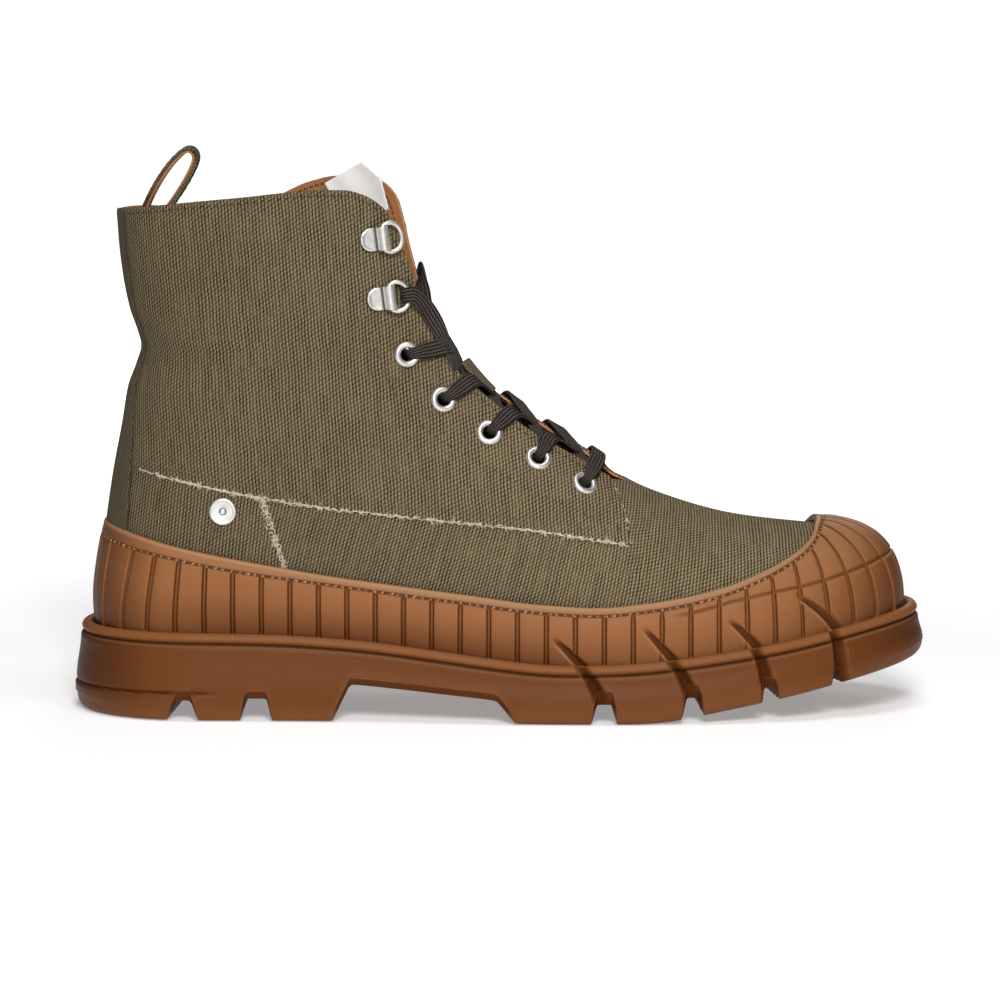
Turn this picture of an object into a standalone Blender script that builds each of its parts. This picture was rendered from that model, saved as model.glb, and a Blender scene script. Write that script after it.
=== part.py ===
"""Lace-up boot: canvas upper, ribbed rubber shell and lugged rubber sole.

A right boot.  +X runs toward the toe, -Y is the outer (lateral) side, +Z is up.
The origin lies on the ground, under the middle of the sole's length and width.
Tables and named sizes are in millimetres; meshes are made in metres.
"""
import math

import bmesh
import bpy
import numpy as np

MM = 0.001

# ---------------------------------------------------------------- named sizes
TOE_X = 146.7            # front of the upper at the feather line
TOE_START = 72.0         # where the toe begins to close in
TOE_POWER = 2.3          # roundness of the toe seen from above
TOE_SWING = 6.0          # inward (medial) swing of the toe tip
HEEL_Y = -2.3            # centre line at the heel
HEEL_ROUND = 40.0        # length over which the heel closes in
HEEL_POWER = 2.2         # roundness of the heel seen from above
FEATHER_DROP = 2.0       # feather line below the top of the sole's bead
GAP = 0.3                # clearance between neighbouring pieces

WALL = 2.4               # canvas and lining together
SHELL_GAP = 0.7          # rubber shell clear of the canvas
SHELL_WALL = 2.5         # rubber shell thickness
INSOLE_INSET = 4.0       # insole edge inside the feather line
INSOLE_THICK = 3.6
TONGUE_THICK = 2.6
COLUMNS = 32             # sections along the boot
UPPER_ROWS = 8           # rows from feather line to top edge
SHELL_ROWS = 6

LUG_TOP_CLEAR = 1.0      # cutters start this far under the ground
EYELET_HOLE = 3.3        # radius of the hole in the canvas
EYELET_SIDES = 10
LACE_WIDTH = 7.4
LACE_THICK = 1.3

# ------------------------------------------------------------------- tables
# top of the sole's bead: x along the boot, z height
BEAD = [(-156, 32.2), (-128, 31.8), (-108, 31.6), (-84, 31.2), (-54, 29.5),
        (-25, 26.3), (0, 23.1), (21, 21.2), (40, 21.4), (54, 22.2), (70, 24.0),
        (90, 26.8), (108, 29.9), (126, 33.8), (150, 38.7)]
# back seam: z height, x of the seam
BACK = [(26, -146.2), (40, -147.2), (54, -146.4), (70, -144.4), (88, -141.8),
        (105, -138.6), (118, -136.2), (126, -133.2), (133, -131.5),
        (139, -132.6), (147, -135.2), (158, -137.4), (173, -139.2),
        (186, -139.9), (230, -140.0)]
# half widths at the feather line: x, lateral, medial
FOOT = [(-150, 36.0, 36.0), (-110, 36.0, 35.5), (-80, 36.5, 34.5),
        (-45, 38.5, 33.5), (-10, 43.0, 37.0), (25, 47.0, 43.0),
        (50, 48.0, 46.0), (75, 47.0, 47.0), (100, 45.5, 47.0),
        (125, 43.5, 46.5), (150, 42.0, 45.0)]
# half width of the shaft: z, half width
SHAFT = [(40, 36.5), (70, 35.5), (100, 33.0), (130, 31.0), (160, 32.0),
         (192, 34.0)]
# front line from the toe over the vamp, instep and ankle: x, z
RIDGE = [(146.7, 36.2), (146.4, 43), (145.5, 48), (143.8, 53), (141.2, 57.3),
         (137.5, 60.9), (131, 64.2), (122, 66.4), (112, 67.4), (100, 68.6),
         (81.3, 71.7), (69, 75.4), (58.4, 79.1), (48.4, 83.0), (38, 90.5),
         (27, 99.5), (16, 108.7), (6, 117.5), (-3, 126.5), (-10.5, 136),
         (-15.5, 146), (-19.5, 156), (-22.5, 166), (-25.5, 177), (-28.5, 189),
         (-32, 205), (-37, 230), (-45, 272), (-60, 350), (-90, 470),
         (-160, 640)]
# collar and throat edge: x, z (the throat ends on the front line)
TOP_EDGE = [(-141, 184.2), (-122, 186.2), (-108, 187.4), (-94, 188.5),
            (-79, 190.0), (-65, 191.1), (-56, 191.0), (-49.9, 189.5),
            (-44.1, 186.2), (-40.4, 182.4), (-38.2, 177.8), (-35.6, 171.0),
            (-33, 164.0), (-31, 158.2), (-28.9, 151.9), (-26.2, 144.8),
            (-23.1, 138.1), (-16, 125.8), (-9.1, 119.3), (-3.6, 114.6),
            (1.7, 110.2), (7.3, 105.9), (13.4, 101.8), (21.7, 97.0),
            (33, 90.4), (41, 85.6), (46.5, 84.1)]
THROAT_X = 46.5          # bottom of the throat, on the front line
# top edge of the rubber shell: x, z (it crosses the front line at CAP_X)
SHELL_TOP = [(-147, 69.3), (-131, 65.4), (-108.6, 60.4), (-87, 56.3),
             (-61.5, 52.0), (-36, 48.6), (-11, 45.5), (14, 42.4), (36, 41.2),
             (57.7, 43.0), (79.6, 47.0), (95.8, 52.3), (104.6, 56.2),
             (110.2, 59.4), (114, 62.9), (115.6, 65.9), (116.4, 67.0)]
CAP_X = 116.4
EXTRA_COLUMNS = (-37.5, 33.0, 41.0, 44.5, 46.5, 108.0, 111.4, 113.6, 115.0, 115.9,
                 116.4)

# underside of the sole: x, z
UNDERSIDE = [(-160, 0.0), (48, 0.0), (60, 0.7), (69, 2.0), (80, 4.2), (94, 6.8),
             (103, 8.5), (122, 12.4), (131, 14.3), (146.7, 17.5)]
# side wall of the sole, ground to plate: offset from the feather line,
# share of the wall height, shift down from the bead (adds to the share)
SOLE_WALL = [(7.8, 0.00, 0.0), (10.0, 0.00, -1.8), (9.6, 0.45, 0.0),
             (7.9, 1.00, 5.0), (7.0, 1.00, 3.9), (7.6, 1.00, 2.3),
             (7.0, 1.00, 0.7), (5.6, 1.00, 0.0), (4.0, 1.00, 0.5),
             (3.6, 1.00, 2.3)]
# tread channels: x at the ground (from, to), x at the roof (from, to),
# roof height, sweep toward the toe per mm of y from the side to the middle
CHANNELS = [(-120.6, -109.5, -117.2, -112.0, 7.2, 0.06),
            (-93.8, -82.7, -92.0, -84.3, 8.0, 0.0),
            (32.9, 41.8, 34.7, 40.3, 7.2, -0.02),
            (65.1, 74.0, 67.0, 71.2, 9.4, -0.04),
            (93.8, 102.4, 95.2, 99.5, 12.6, -0.10),
            (120.6, 128.6, 122.3, 125.0, 17.6, -0.22)]
CHANNEL_SIDE = 48.0      # y at which the channel's x values hold
# waist of the sole: x, z of the cut seen from the side
WAIST = [(-61.0, -LUG_TOP_CLEAR), (-54.2, 13.6), (-1.1, 8.5),
         (6.2, -LUG_TOP_CLEAR)]

# hardware on each quarter, seen from the side: x, z
EYELETS = [(30.6, 84.2), (13.8, 93.4), (-4.0, 102.6), (-20.7, 114.8),
           (-33.8, 131.4)]
RINGS = [("lower", -40.4, 152.1), ("upper", -43.0, 173.5)]
RING_LEAN = math.radians(-7)   # lean of each barrel against upright
RIVET = (-100.3, 75.2)

# tongue: distance along the front line, wing depth below the line, sink at
# the middle
TONGUE_FROM = (60.0, -26.8)    # x of its lower and upper ends on the front line
TONGUE_STATIONS = 13
TONGUE_ACROSS = 8
TONGUE_WING = (8.0, 20.0)      # wing depth at the lower and upper ends
TONGUE_SINK = (3.4, 6.5)       # below the canvas face at the wings, extra at the middle

# pull loop, centre of the strap seen from the side: x, z
LOOP = [(-133.0, 166.0), (-132.6, 174.0), (-130.6, 181.5), (-127.0, 189.5),
        (-122.0, 197.5), (-117.5, 202.6), (-113.6, 204.8), (-111.4, 202.8),
        (-112.2, 198.4), (-115.6, 192.0), (-120.0, 185.4), (-125.0, 179.0),
        (-128.6, 172.8), (-129.8, 166.0)]
LOOP_WIDTH = 15.0
LOOP_THICK = 2.2
# sewn label: corner, direction and size seen from the side
LABEL_CORNER = (-51.2, 199.4)
LABEL_LEAN = math.radians(30)
LABEL_SIZE = (16.0, 20.0)
LABEL_SINK = 9.2


# ------------------------------------------------------------ curve and form
def through(rows, column=1):
    """A smooth curve, free of overshoot, through two columns of a table."""
    rows = sorted(rows)
    xs = np.array([row[0] for row in rows], float)
    ys = np.array([row[column] for row in rows], float)
    step = np.diff(xs)
    rise = np.diff(ys) / step
    slope = np.zeros_like(xs)
    for i in range(1, len(xs) - 1):
        if rise[i - 1] * rise[i] > 0:
            a, b = 2 * step[i] + step[i - 1], step[i] + 2 * step[i - 1]
            slope[i] = (a + b) / (a / rise[i - 1] + b / rise[i])
    slope[0], slope[-1] = rise[0], rise[-1]

    def curve(x):
        x = np.asarray(x, float)
        inside = np.clip(x, xs[0], xs[-1])
        i = np.clip(np.searchsorted(xs, inside) - 1, 0, len(xs) - 2)
        t = (inside - xs[i]) / step[i]
        y = ((1 + 2 * t) * (1 - t) ** 2 * ys[i] + t * (1 - t) ** 2 * step[i] * slope[i]
             + t * t * (3 - 2 * t) * ys[i + 1] + t * t * (t - 1) * step[i] * slope[i + 1])
        return (y + np.where(x < xs[0], slope[0] * (x - xs[0]), 0.0)
                + np.where(x > xs[-1], slope[-1] * (x - xs[-1]), 0.0))
    return curve


def softened(curve, low, high, spread, hold):
    """A curve with its bends eased over `spread`, left as it is beyond `hold`."""
    xs = np.arange(low, high, 0.5)
    weight = np.exp(-0.5 * (np.arange(-3 * spread, 3 * spread + 0.5, 0.5) / spread) ** 2)
    weight /= weight.sum()
    reach = (len(weight) - 1) / 4
    wide = np.arange(low - reach, high + reach - 0.25, 0.5)
    ys = np.convolve(curve(wide), weight, mode="valid")[:len(xs)]

    def eased(x):
        x = np.asarray(x, float)
        mix = np.clip((x - hold + 15) / 15, 0, 1)
        mix = mix * mix * (3 - 2 * mix)
        return np.interp(x, xs, ys) * (1 - mix) + curve(x) * mix
    return eased


bead_z = softened(through(BEAD), -160, 160, 6.0, 150)
back_x = through(BACK)
foot_lateral = through(FOOT, 1)
foot_medial = through(FOOT, 2)
shaft_half = through(SHAFT)
ridge_z = softened(through(RIDGE), -160, 140, 5.0, 132)
edge_z = through(TOP_EDGE)
shell_z = through(SHELL_TOP)
under_z = through(UNDERSIDE)


def ease(t):
    t = np.clip(t, 0.0, 1.0)
    return t * t * (3 - 2 * t)


def feather_z(x):
    return bead_z(x) - FEATHER_DROP


def centre_y(x):
    return HEEL_Y + TOE_SWING * ease((np.asarray(x, float) + 10) / 150)


def arch_power(x):
    return 1.9 + 0.4 * ease((np.asarray(x, float) + 10) / 80)


def half_width(x, z, side):
    """Distance of the upper's face from the centre line; side -1 is lateral."""
    x, z = np.asarray(x, float), np.asarray(z, float)
    foot = foot_lateral(x) if side < 0 else foot_medial(x)
    blend = ease((z - 45) / 60) * ease((40 - x) / 70)
    width = (1 - blend) * foot + blend * shaft_half(z)
    toe = np.clip((x - TOE_START) / (TOE_X - TOE_START), 0, 1)
    width = width * (1 - toe ** TOE_POWER) ** (1 / TOE_POWER)
    heel = np.clip((x - back_x(z)) / HEEL_ROUND, 0, 1)
    width = width * (1 - (1 - heel) ** HEEL_POWER) ** (1 / HEEL_POWER)
    low = feather_z(x)
    rise = np.clip((z - low) / np.maximum(ridge_z(x) - low, 1e-6), 0, 1)
    return width * np.sqrt(np.clip(1 - rise ** arch_power(x), 0, 1))


def face_point(x, z, side):
    return np.array([x, float(centre_y(x) + side * half_width(x, z, side)), z])


def face_normal(x, z, side):
    e = 0.05
    hx = (half_width(x + e, z, side) - half_width(x - e, z, side)) / (2 * e)
    hz = (half_width(x, z + e, side) - half_width(x, z - e, side)) / (2 * e)
    cx = (centre_y(x + e) - centre_y(x - e)) / (2 * e)
    n = np.array([float(-side * cx - hx), float(side), float(-hz)])
    return n / np.linalg.norm(n)


def off_face(x, z, side, height):
    return face_point(x, z, side) + height * face_normal(x, z, side)


# ----------------------------------------------------------------- mesh tools
for old in list(bpy.data.objects):
    bpy.data.objects.remove(old, do_unlink=True)


def material(name, colour, roughness, metallic=0.0):
    mat = bpy.data.materials.new(name)
    mat.use_nodes = True
    shader = mat.node_tree.nodes["Principled BSDF"]
    shader.inputs["Base Color"].default_value = (*colour, 1.0)
    shader.inputs["Roughness"].default_value = roughness
    shader.inputs["Metallic"].default_value = metallic
    return mat


CANVAS = material("olive_canvas", (0.115, 0.095, 0.055), 0.9)
RUBBER = material("gum_rubber", (0.27, 0.115, 0.045), 0.5)
DARK_RUBBER = material("sole_rubber", (0.21, 0.085, 0.035), 0.5)
LEATHER = material("tan_leather", (0.30, 0.15, 0.06), 0.6)
NICKEL = material("nickel", (0.62, 0.61, 0.59), 0.35, 1.0)
LACE = material("charcoal_lace", (0.035, 0.032, 0.032), 0.85)
COTTON = material("white_cotton", (0.8, 0.79, 0.76), 0.9)


def add_mesh(name, points, faces, mat, smooth=35):
    """One object from points in millimetres; doubled points are merged."""
    bm = bmesh.new()
    verts = [bm.verts.new([c * MM for c in p]) for p in points]
    for face in faces:
        bm.faces.new([verts[i] for i in face])
    bmesh.ops.remove_doubles(bm, verts=bm.verts, dist=2e-6)
    bmesh.ops.recalc_face_normals(bm, faces=bm.faces)
    mesh = bpy.data.meshes.new(name)
    bm.to_mesh(mesh)
    bm.free()
    mesh.shade_smooth()
    mesh.set_sharp_from_angle(angle=math.radians(smooth))
    obj = bpy.data.objects.new(name, mesh)
    bpy.context.scene.collection.objects.link(obj)
    mesh.materials.append(mat)
    return obj


def cutter(name, points, faces):
    obj = add_mesh(name, points, faces, CANVAS)
    obj.hide_render = True
    obj.display_type = 'WIRE'
    return obj


def boolean(obj, tool, operation):
    mod = obj.modifiers.new(operation.lower() + "_" + tool.name, 'BOOLEAN')
    mod.operation = operation
    mod.solver = 'EXACT'
    mod.object = tool


def welded(points, faces):
    """Merge doubled points of an open face and return points, faces, normals."""
    bm = bmesh.new()
    verts = [bm.verts.new(p) for p in points]
    for face in faces:
        bm.faces.new([verts[i] for i in face])
    bmesh.ops.remove_doubles(bm, verts=bm.verts, dist=2e-3)
    bmesh.ops.dissolve_degenerate(bm, edges=bm.edges, dist=2e-3)
    bm.normal_update()
    bm.verts.index_update()
    pts = np.array([v.co[:] for v in bm.verts])
    nrm = np.array([v.normal[:] for v in bm.verts])
    fcs = [[v.index for v in f.verts] for f in bm.faces]
    edges = [[loop.vert.index, loop.link_loop_next.vert.index]
             for f in bm.faces for loop in f.loops if loop.edge.is_boundary]
    bm.free()
    return pts, nrm, fcs, edges


def between(name, points, faces, low, high, mat, smooth=35):
    """Closed wall between two offsets of an open face along its normals."""
    pts, nrm, fcs, edges = welded(points, faces)
    low = low(pts) if callable(low) else np.full(len(pts), low)
    high = high(pts) if callable(high) else np.full(len(pts), high)
    n = len(pts)
    both = np.vstack([pts + nrm * high[:, None], pts + nrm * low[:, None]])
    solid = list(fcs) + [[i + n for i in reversed(f)] for f in fcs]
    solid += [[b, a, a + n, b + n] for a, b in edges]
    return add_mesh(name, both, solid, mat, smooth)


def ring_faces(rows, count, closed_rows=False):
    """Quads of a tube of `rows` rings of `count` points."""
    out = []
    for r in range(rows if closed_rows else rows - 1):
        s = (r + 1) % rows
        for k in range(count):
            m = (k + 1) % count
            out.append([r * count + k, r * count + m, s * count + m, s * count + k])
    return out


def tube(name, path, radius, sides, mat, closed=False):
    """Round wire along a list of points."""
    path = np.asarray(path, float)
    n = len(path)
    points = []
    flat = np.linalg.svd(path - path.mean(axis=0))[2][2]
    for i in range(n):
        ahead = path[(i + 1) % n] if closed or i < n - 1 else path[i]
        behind = path[i - 1] if closed or i > 0 else path[i]
        t = (ahead - behind) / np.linalg.norm(ahead - behind)
        u = np.cross(flat, t)
        u /= np.linalg.norm(u)
        w = np.cross(t, u)
        for k in range(sides):
            a = 2 * math.pi * k / sides
            points.append(path[i] + radius * (math.cos(a) * u + math.sin(a) * w))
    faces = ring_faces(n, sides, closed)
    if not closed:
        faces += [list(range(sides)), [(n - 1) * sides + k for k in range(sides)]]
    return add_mesh(name, points, faces, mat)


def strap(name, path, across, width, thick, mat):
    """Flat strip along a path; `across` gives its width direction at each point."""
    path = np.asarray(path, float)
    n = len(path)
    points = []
    for i in range(n):
        t = path[min(i + 1, n - 1)] - path[max(i - 1, 0)]
        t = t / np.linalg.norm(t)
        w = np.asarray(across[i], float)
        w = w - t * np.dot(w, t)
        w /= np.linalg.norm(w)
        up = np.cross(t, w)
        for a, b in ((-1, -1), (1, -1), (1, 1), (-1, 1)):
            points.append(path[i] + a * width / 2 * w + b * thick / 2 * up)
    faces = ring_faces(n, 4) + [[0, 1, 2, 3], [(n - 1) * 4 + k for k in range(4)]]
    return add_mesh(name, points, faces, mat)


def turned(name, profile, sides, place, axis, mat):
    """Closed profile (radius, height) turned about an axis through `place`."""
    axis = np.asarray(axis, float)
    u = np.cross(axis, [0.0, 0.0, 1.0])
    u /= np.linalg.norm(u)
    w = np.cross(axis, u)
    points = []
    for k in range(sides):
        a = 2 * math.pi * k / sides
        out = math.cos(a) * u + math.sin(a) * w
        for radius, height in profile:
            points.append(np.asarray(place) + radius * out + height * axis)
    return add_mesh(name, points, ring_faces(sides, len(profile), True), mat)


# ------------------------------------------------------------ boot's sections
def section_xs():
    """Section places, evenly spaced round the lateral feather line."""
    heel = float(back_x(feather_z(-146.0)))
    t = np.linspace(0, 1, 2001)
    x = heel + (TOE_X - heel) * (1 - np.cos(math.pi * t)) / 2
    y = centre_y(x) - half_width(x, feather_z(x), -1)
    run = np.concatenate([[0], np.cumsum(np.hypot(np.diff(x), np.diff(y)))])
    even = np.interp(np.linspace(0, run[-1], COLUMNS + 1), run, x)
    keep = [v for v in even
            if min(abs(v - e) for e in EXTRA_COLUMNS) > 1.9 or v in (even[0], even[-1])]
    return np.array(sorted(keep + list(EXTRA_COLUMNS)))


SECTIONS = section_xs()
HEEL_X = SECTIONS[0]


def row_points(x, top, rows, side):
    """Points of one section from the feather line up to height `top`."""
    low, crest = float(feather_z(x)), float(ridge_z(x))
    power = float(arch_power(x))
    share = np.clip((top - low) / max(crest - low, 1e-6), 0, 1)
    last = math.asin(min(1.0, share ** (power / 2)))
    angle = last * np.linspace(0, 1, rows + 1)
    z = low + (crest - low) * np.sin(angle) ** (2 / power)
    fade = 1 - ease((x - HEEL_X) / 75)
    lean = x + (back_x(z) - HEEL_X) * fade
    y = centre_y(lean) + side * half_width(lean, z, side)
    if share >= 1.0:
        y[-1] = centre_y(lean[-1])
    return np.stack([lean, y, z], axis=1)


def skin(top_of, rows):
    """Open face of the upper from the feather line to top_of(x), both sides."""
    points, faces = [], []
    count = rows + 1
    for side in (-1, 1):
        start = len(points)
        for x in SECTIONS:
            points.extend(row_points(x, top_of(x), rows, side))
        for i in range(len(SECTIONS) - 1):
            for j in range(rows):
                a = start + i * count + j
                quad = [a, a + count, a + count + 1, a + 1]
                faces.append(quad if side < 0 else quad[::-1])
    return points, faces


def outline(offset):
    """Feather line moved outward in plan; lateral and medial rows of points."""
    rows = []
    for side in (-1, 1):
        y = centre_y(SECTIONS) + side * half_width(SECTIONS, feather_z(SECTIONS), side)
        y[0], y[-1] = centre_y(SECTIONS[0]), centre_y(SECTIONS[-1])
        rows.append(np.stack([SECTIONS, y], axis=1))
    loop = np.vstack([rows[0], rows[1][-2:0:-1]])
    ahead, behind = np.roll(loop, -1, axis=0), np.roll(loop, 1, axis=0)
    one = (loop - behind) / np.linalg.norm(loop - behind, axis=1)[:, None]
    two = (ahead - loop) / np.linalg.norm(ahead - loop, axis=1)[:, None]
    t = one + two
    t /= np.linalg.norm(t, axis=1)[:, None]
    return loop + offset * np.stack([t[:, 1], -t[:, 0]], axis=1)


def loop_columns():
    """Section number of each point of the closed outline."""
    n = len(SECTIONS)
    return list(range(n)) + list(range(n - 2, 0, -1))


def cap_faces(start, flip):
    """Strips across the boot that close an outline ring beginning at `start`."""
    n = len(SECTIONS)
    total = 2 * n - 2
    faces = []
    for i in range(n - 1):
        quad = [i, i + 1, (total - i - 1) % total, (total - i) % total]
        quad = [start + k for k in dict.fromkeys(quad)]
        faces.append(quad[::-1] if flip else quad)
    return faces


# -------------------------------------------------------------------- outsole
def make_outsole():
    base = SECTIONS[loop_columns()]
    low, high = under_z(base), bead_z(base)
    points = []
    for offset, share, drop in SOLE_WALL:
        plan = outline(offset)
        z = low + share * (high - low) - drop
        points.extend(np.column_stack([plan, z]))
    count = len(base)
    faces = ring_faces(len(SOLE_WALL), count)
    faces += cap_faces(0, True) + cap_faces((len(SOLE_WALL) - 1) * count, False)
    sole = add_mesh("outsole", points, faces, DARK_RUBBER, 30)
    reach = 80.0
    pts = [(x, y, z) for y in (-reach, reach) for x, z in WAIST]
    boolean(sole, cutter("cut_waist", pts, ring_faces(2, 4) + [[0, 1, 2, 3], [4, 5, 6, 7]]),
            'DIFFERENCE')
    for number, (g0, g1, r0, r1, roof, sweep) in enumerate(CHANNELS):
        pts = []
        for y in (-reach, 0.0, reach):
            move = sweep * (CHANNEL_SIDE - abs(y))
            wide = 1.0 + LUG_TOP_CLEAR / roof
            pts += [(r0 + (g0 - r0) * wide + move, y, -LUG_TOP_CLEAR),
                    (r0 + move, y, roof), (r1 + move, y, roof),
                    (r1 + (g1 - r1) * wide + move, y, -LUG_TOP_CLEAR)]
        tool = cutter("cut_channel_%d" % number, pts,
                      ring_faces(3, 4) + [[0, 1, 2, 3], [8, 9, 10, 11]])
        boolean(sole, tool, 'DIFFERENCE')
    return sole


# ---------------------------------------------------------------- soft pieces
def upper_top(x):
    return float(ridge_z(x)) + 1.0 if x >= THROAT_X else float(edge_z(x))


def shell_top(x):
    return float(ridge_z(x)) + 1.0 if x >= CAP_X else float(shell_z(x))


def make_upper():
    points, faces = skin(upper_top, UPPER_ROWS)
    upper = between("upper", points, faces, -WALL, 0.0, CANVAS)
    pts, fcs = [], []
    sides = EYELET_SIDES
    for side in (-1, 1):
        for x, z in EYELETS:
            n = face_normal(x, z, side)
            u = np.cross(n, [0.0, 0.0, 1.0])
            u /= np.linalg.norm(u)
            w = np.cross(n, u)
            start = len(pts)
            for depth in (-7.0, 4.0):
                for k in range(sides):
                    a = 2 * math.pi * k / sides
                    pts.append(off_face(x, z, side, depth)
                               + EYELET_HOLE * (math.cos(a) * u + math.sin(a) * w))
            fcs += [[start + i for i in f] for f in ring_faces(2, sides)]
            fcs += [[start + k for k in range(sides)], [start + sides + k for k in range(sides)]]
    boolean(upper, cutter("cut_eyelet_holes", pts, fcs), 'DIFFERENCE')
    return upper


def make_shell():
    points, faces = skin(shell_top, SHELL_ROWS)
    return between("rubber_shell", points, faces, SHELL_GAP, SHELL_GAP + SHELL_WALL, RUBBER)


def make_insole():
    plan = outline(-INSOLE_INSET)
    base = feather_z(SECTIONS[loop_columns()])
    rows = [np.column_stack([plan, base + GAP + 0.2]),
            np.column_stack([plan, base + GAP + 0.2 + INSOLE_THICK])]
    count = len(plan)
    faces = ring_faces(2, count) + cap_faces(0, True) + cap_faces(count, False)
    return add_mesh("insole", np.vstack(rows), faces, LEATHER, 30)


def front_line(x_from, x_to, count):
    """Evenly spaced points on the front line, with the way into the boot."""
    x = np.linspace(x_from, x_to, 600)
    z = ridge_z(x)
    run = np.concatenate([[0], np.cumsum(np.hypot(np.diff(x), np.diff(z)))])
    at = np.linspace(0, run[-1], count)
    px, pz = np.interp(at, run, x), np.interp(at, run, z)
    tx, tz = np.gradient(px, at), np.gradient(pz, at)
    size = np.hypot(tx, tz)
    return np.stack([px, pz], axis=1), np.stack([-tz / size, tx / size], axis=1)


def tongue_face(t_from, t_to, across, s_from, s_to, stations):
    """Open face over the instep; t runs across it and s along it, both 0 to 1."""
    line, inward = front_line(TONGUE_FROM[0], TONGUE_FROM[1], 60)
    points, marks = [], []
    for s in np.linspace(s_from, s_to, stations):
        at = s * 59
        i = min(int(at), 58)
        f = at - i
        spot = line[i] * (1 - f) + line[i + 1] * f
        way = inward[i] * (1 - f) + inward[i + 1] * f
        wing = TONGUE_WING[0] + (TONGUE_WING[1] - TONGUE_WING[0]) * s
        for t in np.linspace(t_from, t_to, across + 1):
            x, z = spot + way * wing * t * t
            side = -1 if t < 0 else 1
            y = float(centre_y(x))
            if abs(t) > 1e-6:
                y += side * float(half_width(x, z, side))
            points.append((x, y, z))
            marks.append(t)
    faces = []
    for i in range(stations - 1):
        for j in range(across):
            a = i * (across + 1) + j
            faces.append([a, a + 1, a + across + 2, a + across + 1])
    return points, faces, np.array(marks)


def make_tongue():
    points, faces, marks = tongue_face(-1, 1, TONGUE_ACROSS, 0, 1, TONGUE_STATIONS)

    def top(pts):
        return -(TONGUE_SINK[0] + TONGUE_SINK[1] * (1 - marks ** 2))

    return between("tongue", points, faces, lambda p: top(p) - TONGUE_THICK, top, CANVAS)


def make_keeper():
    points, faces, marks = tongue_face(-0.3, 0.3, 4, 0.51, 0.60, 3)

    def low(pts):
        return -(TONGUE_SINK[0] + TONGUE_SINK[1] * (1 - marks ** 2)) + 0.4

    return between("lace_keeper", points, faces, low, lambda p: low(p) + 0.7, CANVAS)


def make_loop():
    path = [(x, HEEL_Y, z) for x, z in LOOP]
    return strap("pull_loop", path, [(0, 1, 0)] * len(path), LOOP_WIDTH, LOOP_THICK, CANVAS)


def make_label():
    up = np.array([-math.sin(LABEL_LEAN), math.cos(LABEL_LEAN)])
    back = np.array([-math.cos(LABEL_LEAN), -math.sin(LABEL_LEAN)])
    points, faces = [], []
    nu, nv = 3, 4
    for i in range(nu + 1):
        for j in range(nv + 1):
            x, z = (np.array(LABEL_CORNER) + back * LABEL_SIZE[0] * i / nu
                    - up * LABEL_SIZE[1] * j / nv)
            points.append((x, float(centre_y(x) + half_width(x, min(z, 190.0), 1)) - LABEL_SINK, z))
    for i in range(nu):
        for j in range(nv):
            a = i * (nv + 1) + j
            faces.append([a, a + 1, a + nv + 2, a + nv + 1])
    return between("sewn_label", points, faces, -0.25, 0.25, COTTON)


# ------------------------------------------------------------------- hardware
# eyelet: radius, height above the canvas face
EYELET_PROFILE = [(2.4, -2.7), (3.0, -2.7), (3.0, 0.7), (4.75, 0.7), (4.4, 1.4),
                  (3.3, 1.7), (2.4, 1.2)]
RIVET_PROFILE = [(0.01, 0.6), (4.95, 0.6), (4.9, 1.2), (4.2, 1.8), (2.9, 1.9),
                 (2.4, 1.5), (0.01, 1.4)]
CLIP_LONG = 8.2          # plate behind the barrel
CLIP_TALL = 8.6          # along the barrel
CLIP_SHEET = 0.8
BARREL_BORE = 1.4
BARREL_HEIGHT = 2.7     # bar's axis above the canvas face
WIRE = 0.85              # ring wire radius
RING_REACH = 7.0
RING_TALL = 10.6


def make_eyelets():
    for side, word in ((-1, "lateral"), (1, "medial")):
        for number, (x, z) in enumerate(EYELETS):
            turned("eyelet_%s_%d" % (word, number + 1), EYELET_PROFILE, EYELET_SIDES,
                   face_point(x, z, side), face_normal(x, z, side), NICKEL)


def make_rivet():
    x, z = RIVET
    turned("heel_rivet", RIVET_PROFILE, 14, face_point(x, z, -1), face_normal(x, z, -1), NICKEL)


def ring_frame(x, z, side):
    """Bar centre, forward, barrel and outward directions of a ring clip."""
    n = face_normal(x, z, side)
    up = np.array([math.sin(RING_LEAN), 0.0, math.cos(RING_LEAN)])
    up = up - n * np.dot(up, n)
    up /= np.linalg.norm(up)
    ahead = np.cross(up, n)
    if ahead[0] < 0:
        ahead = -ahead
    return face_point(x, z, side) + n * BARREL_HEIGHT, ahead, up, n


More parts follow.
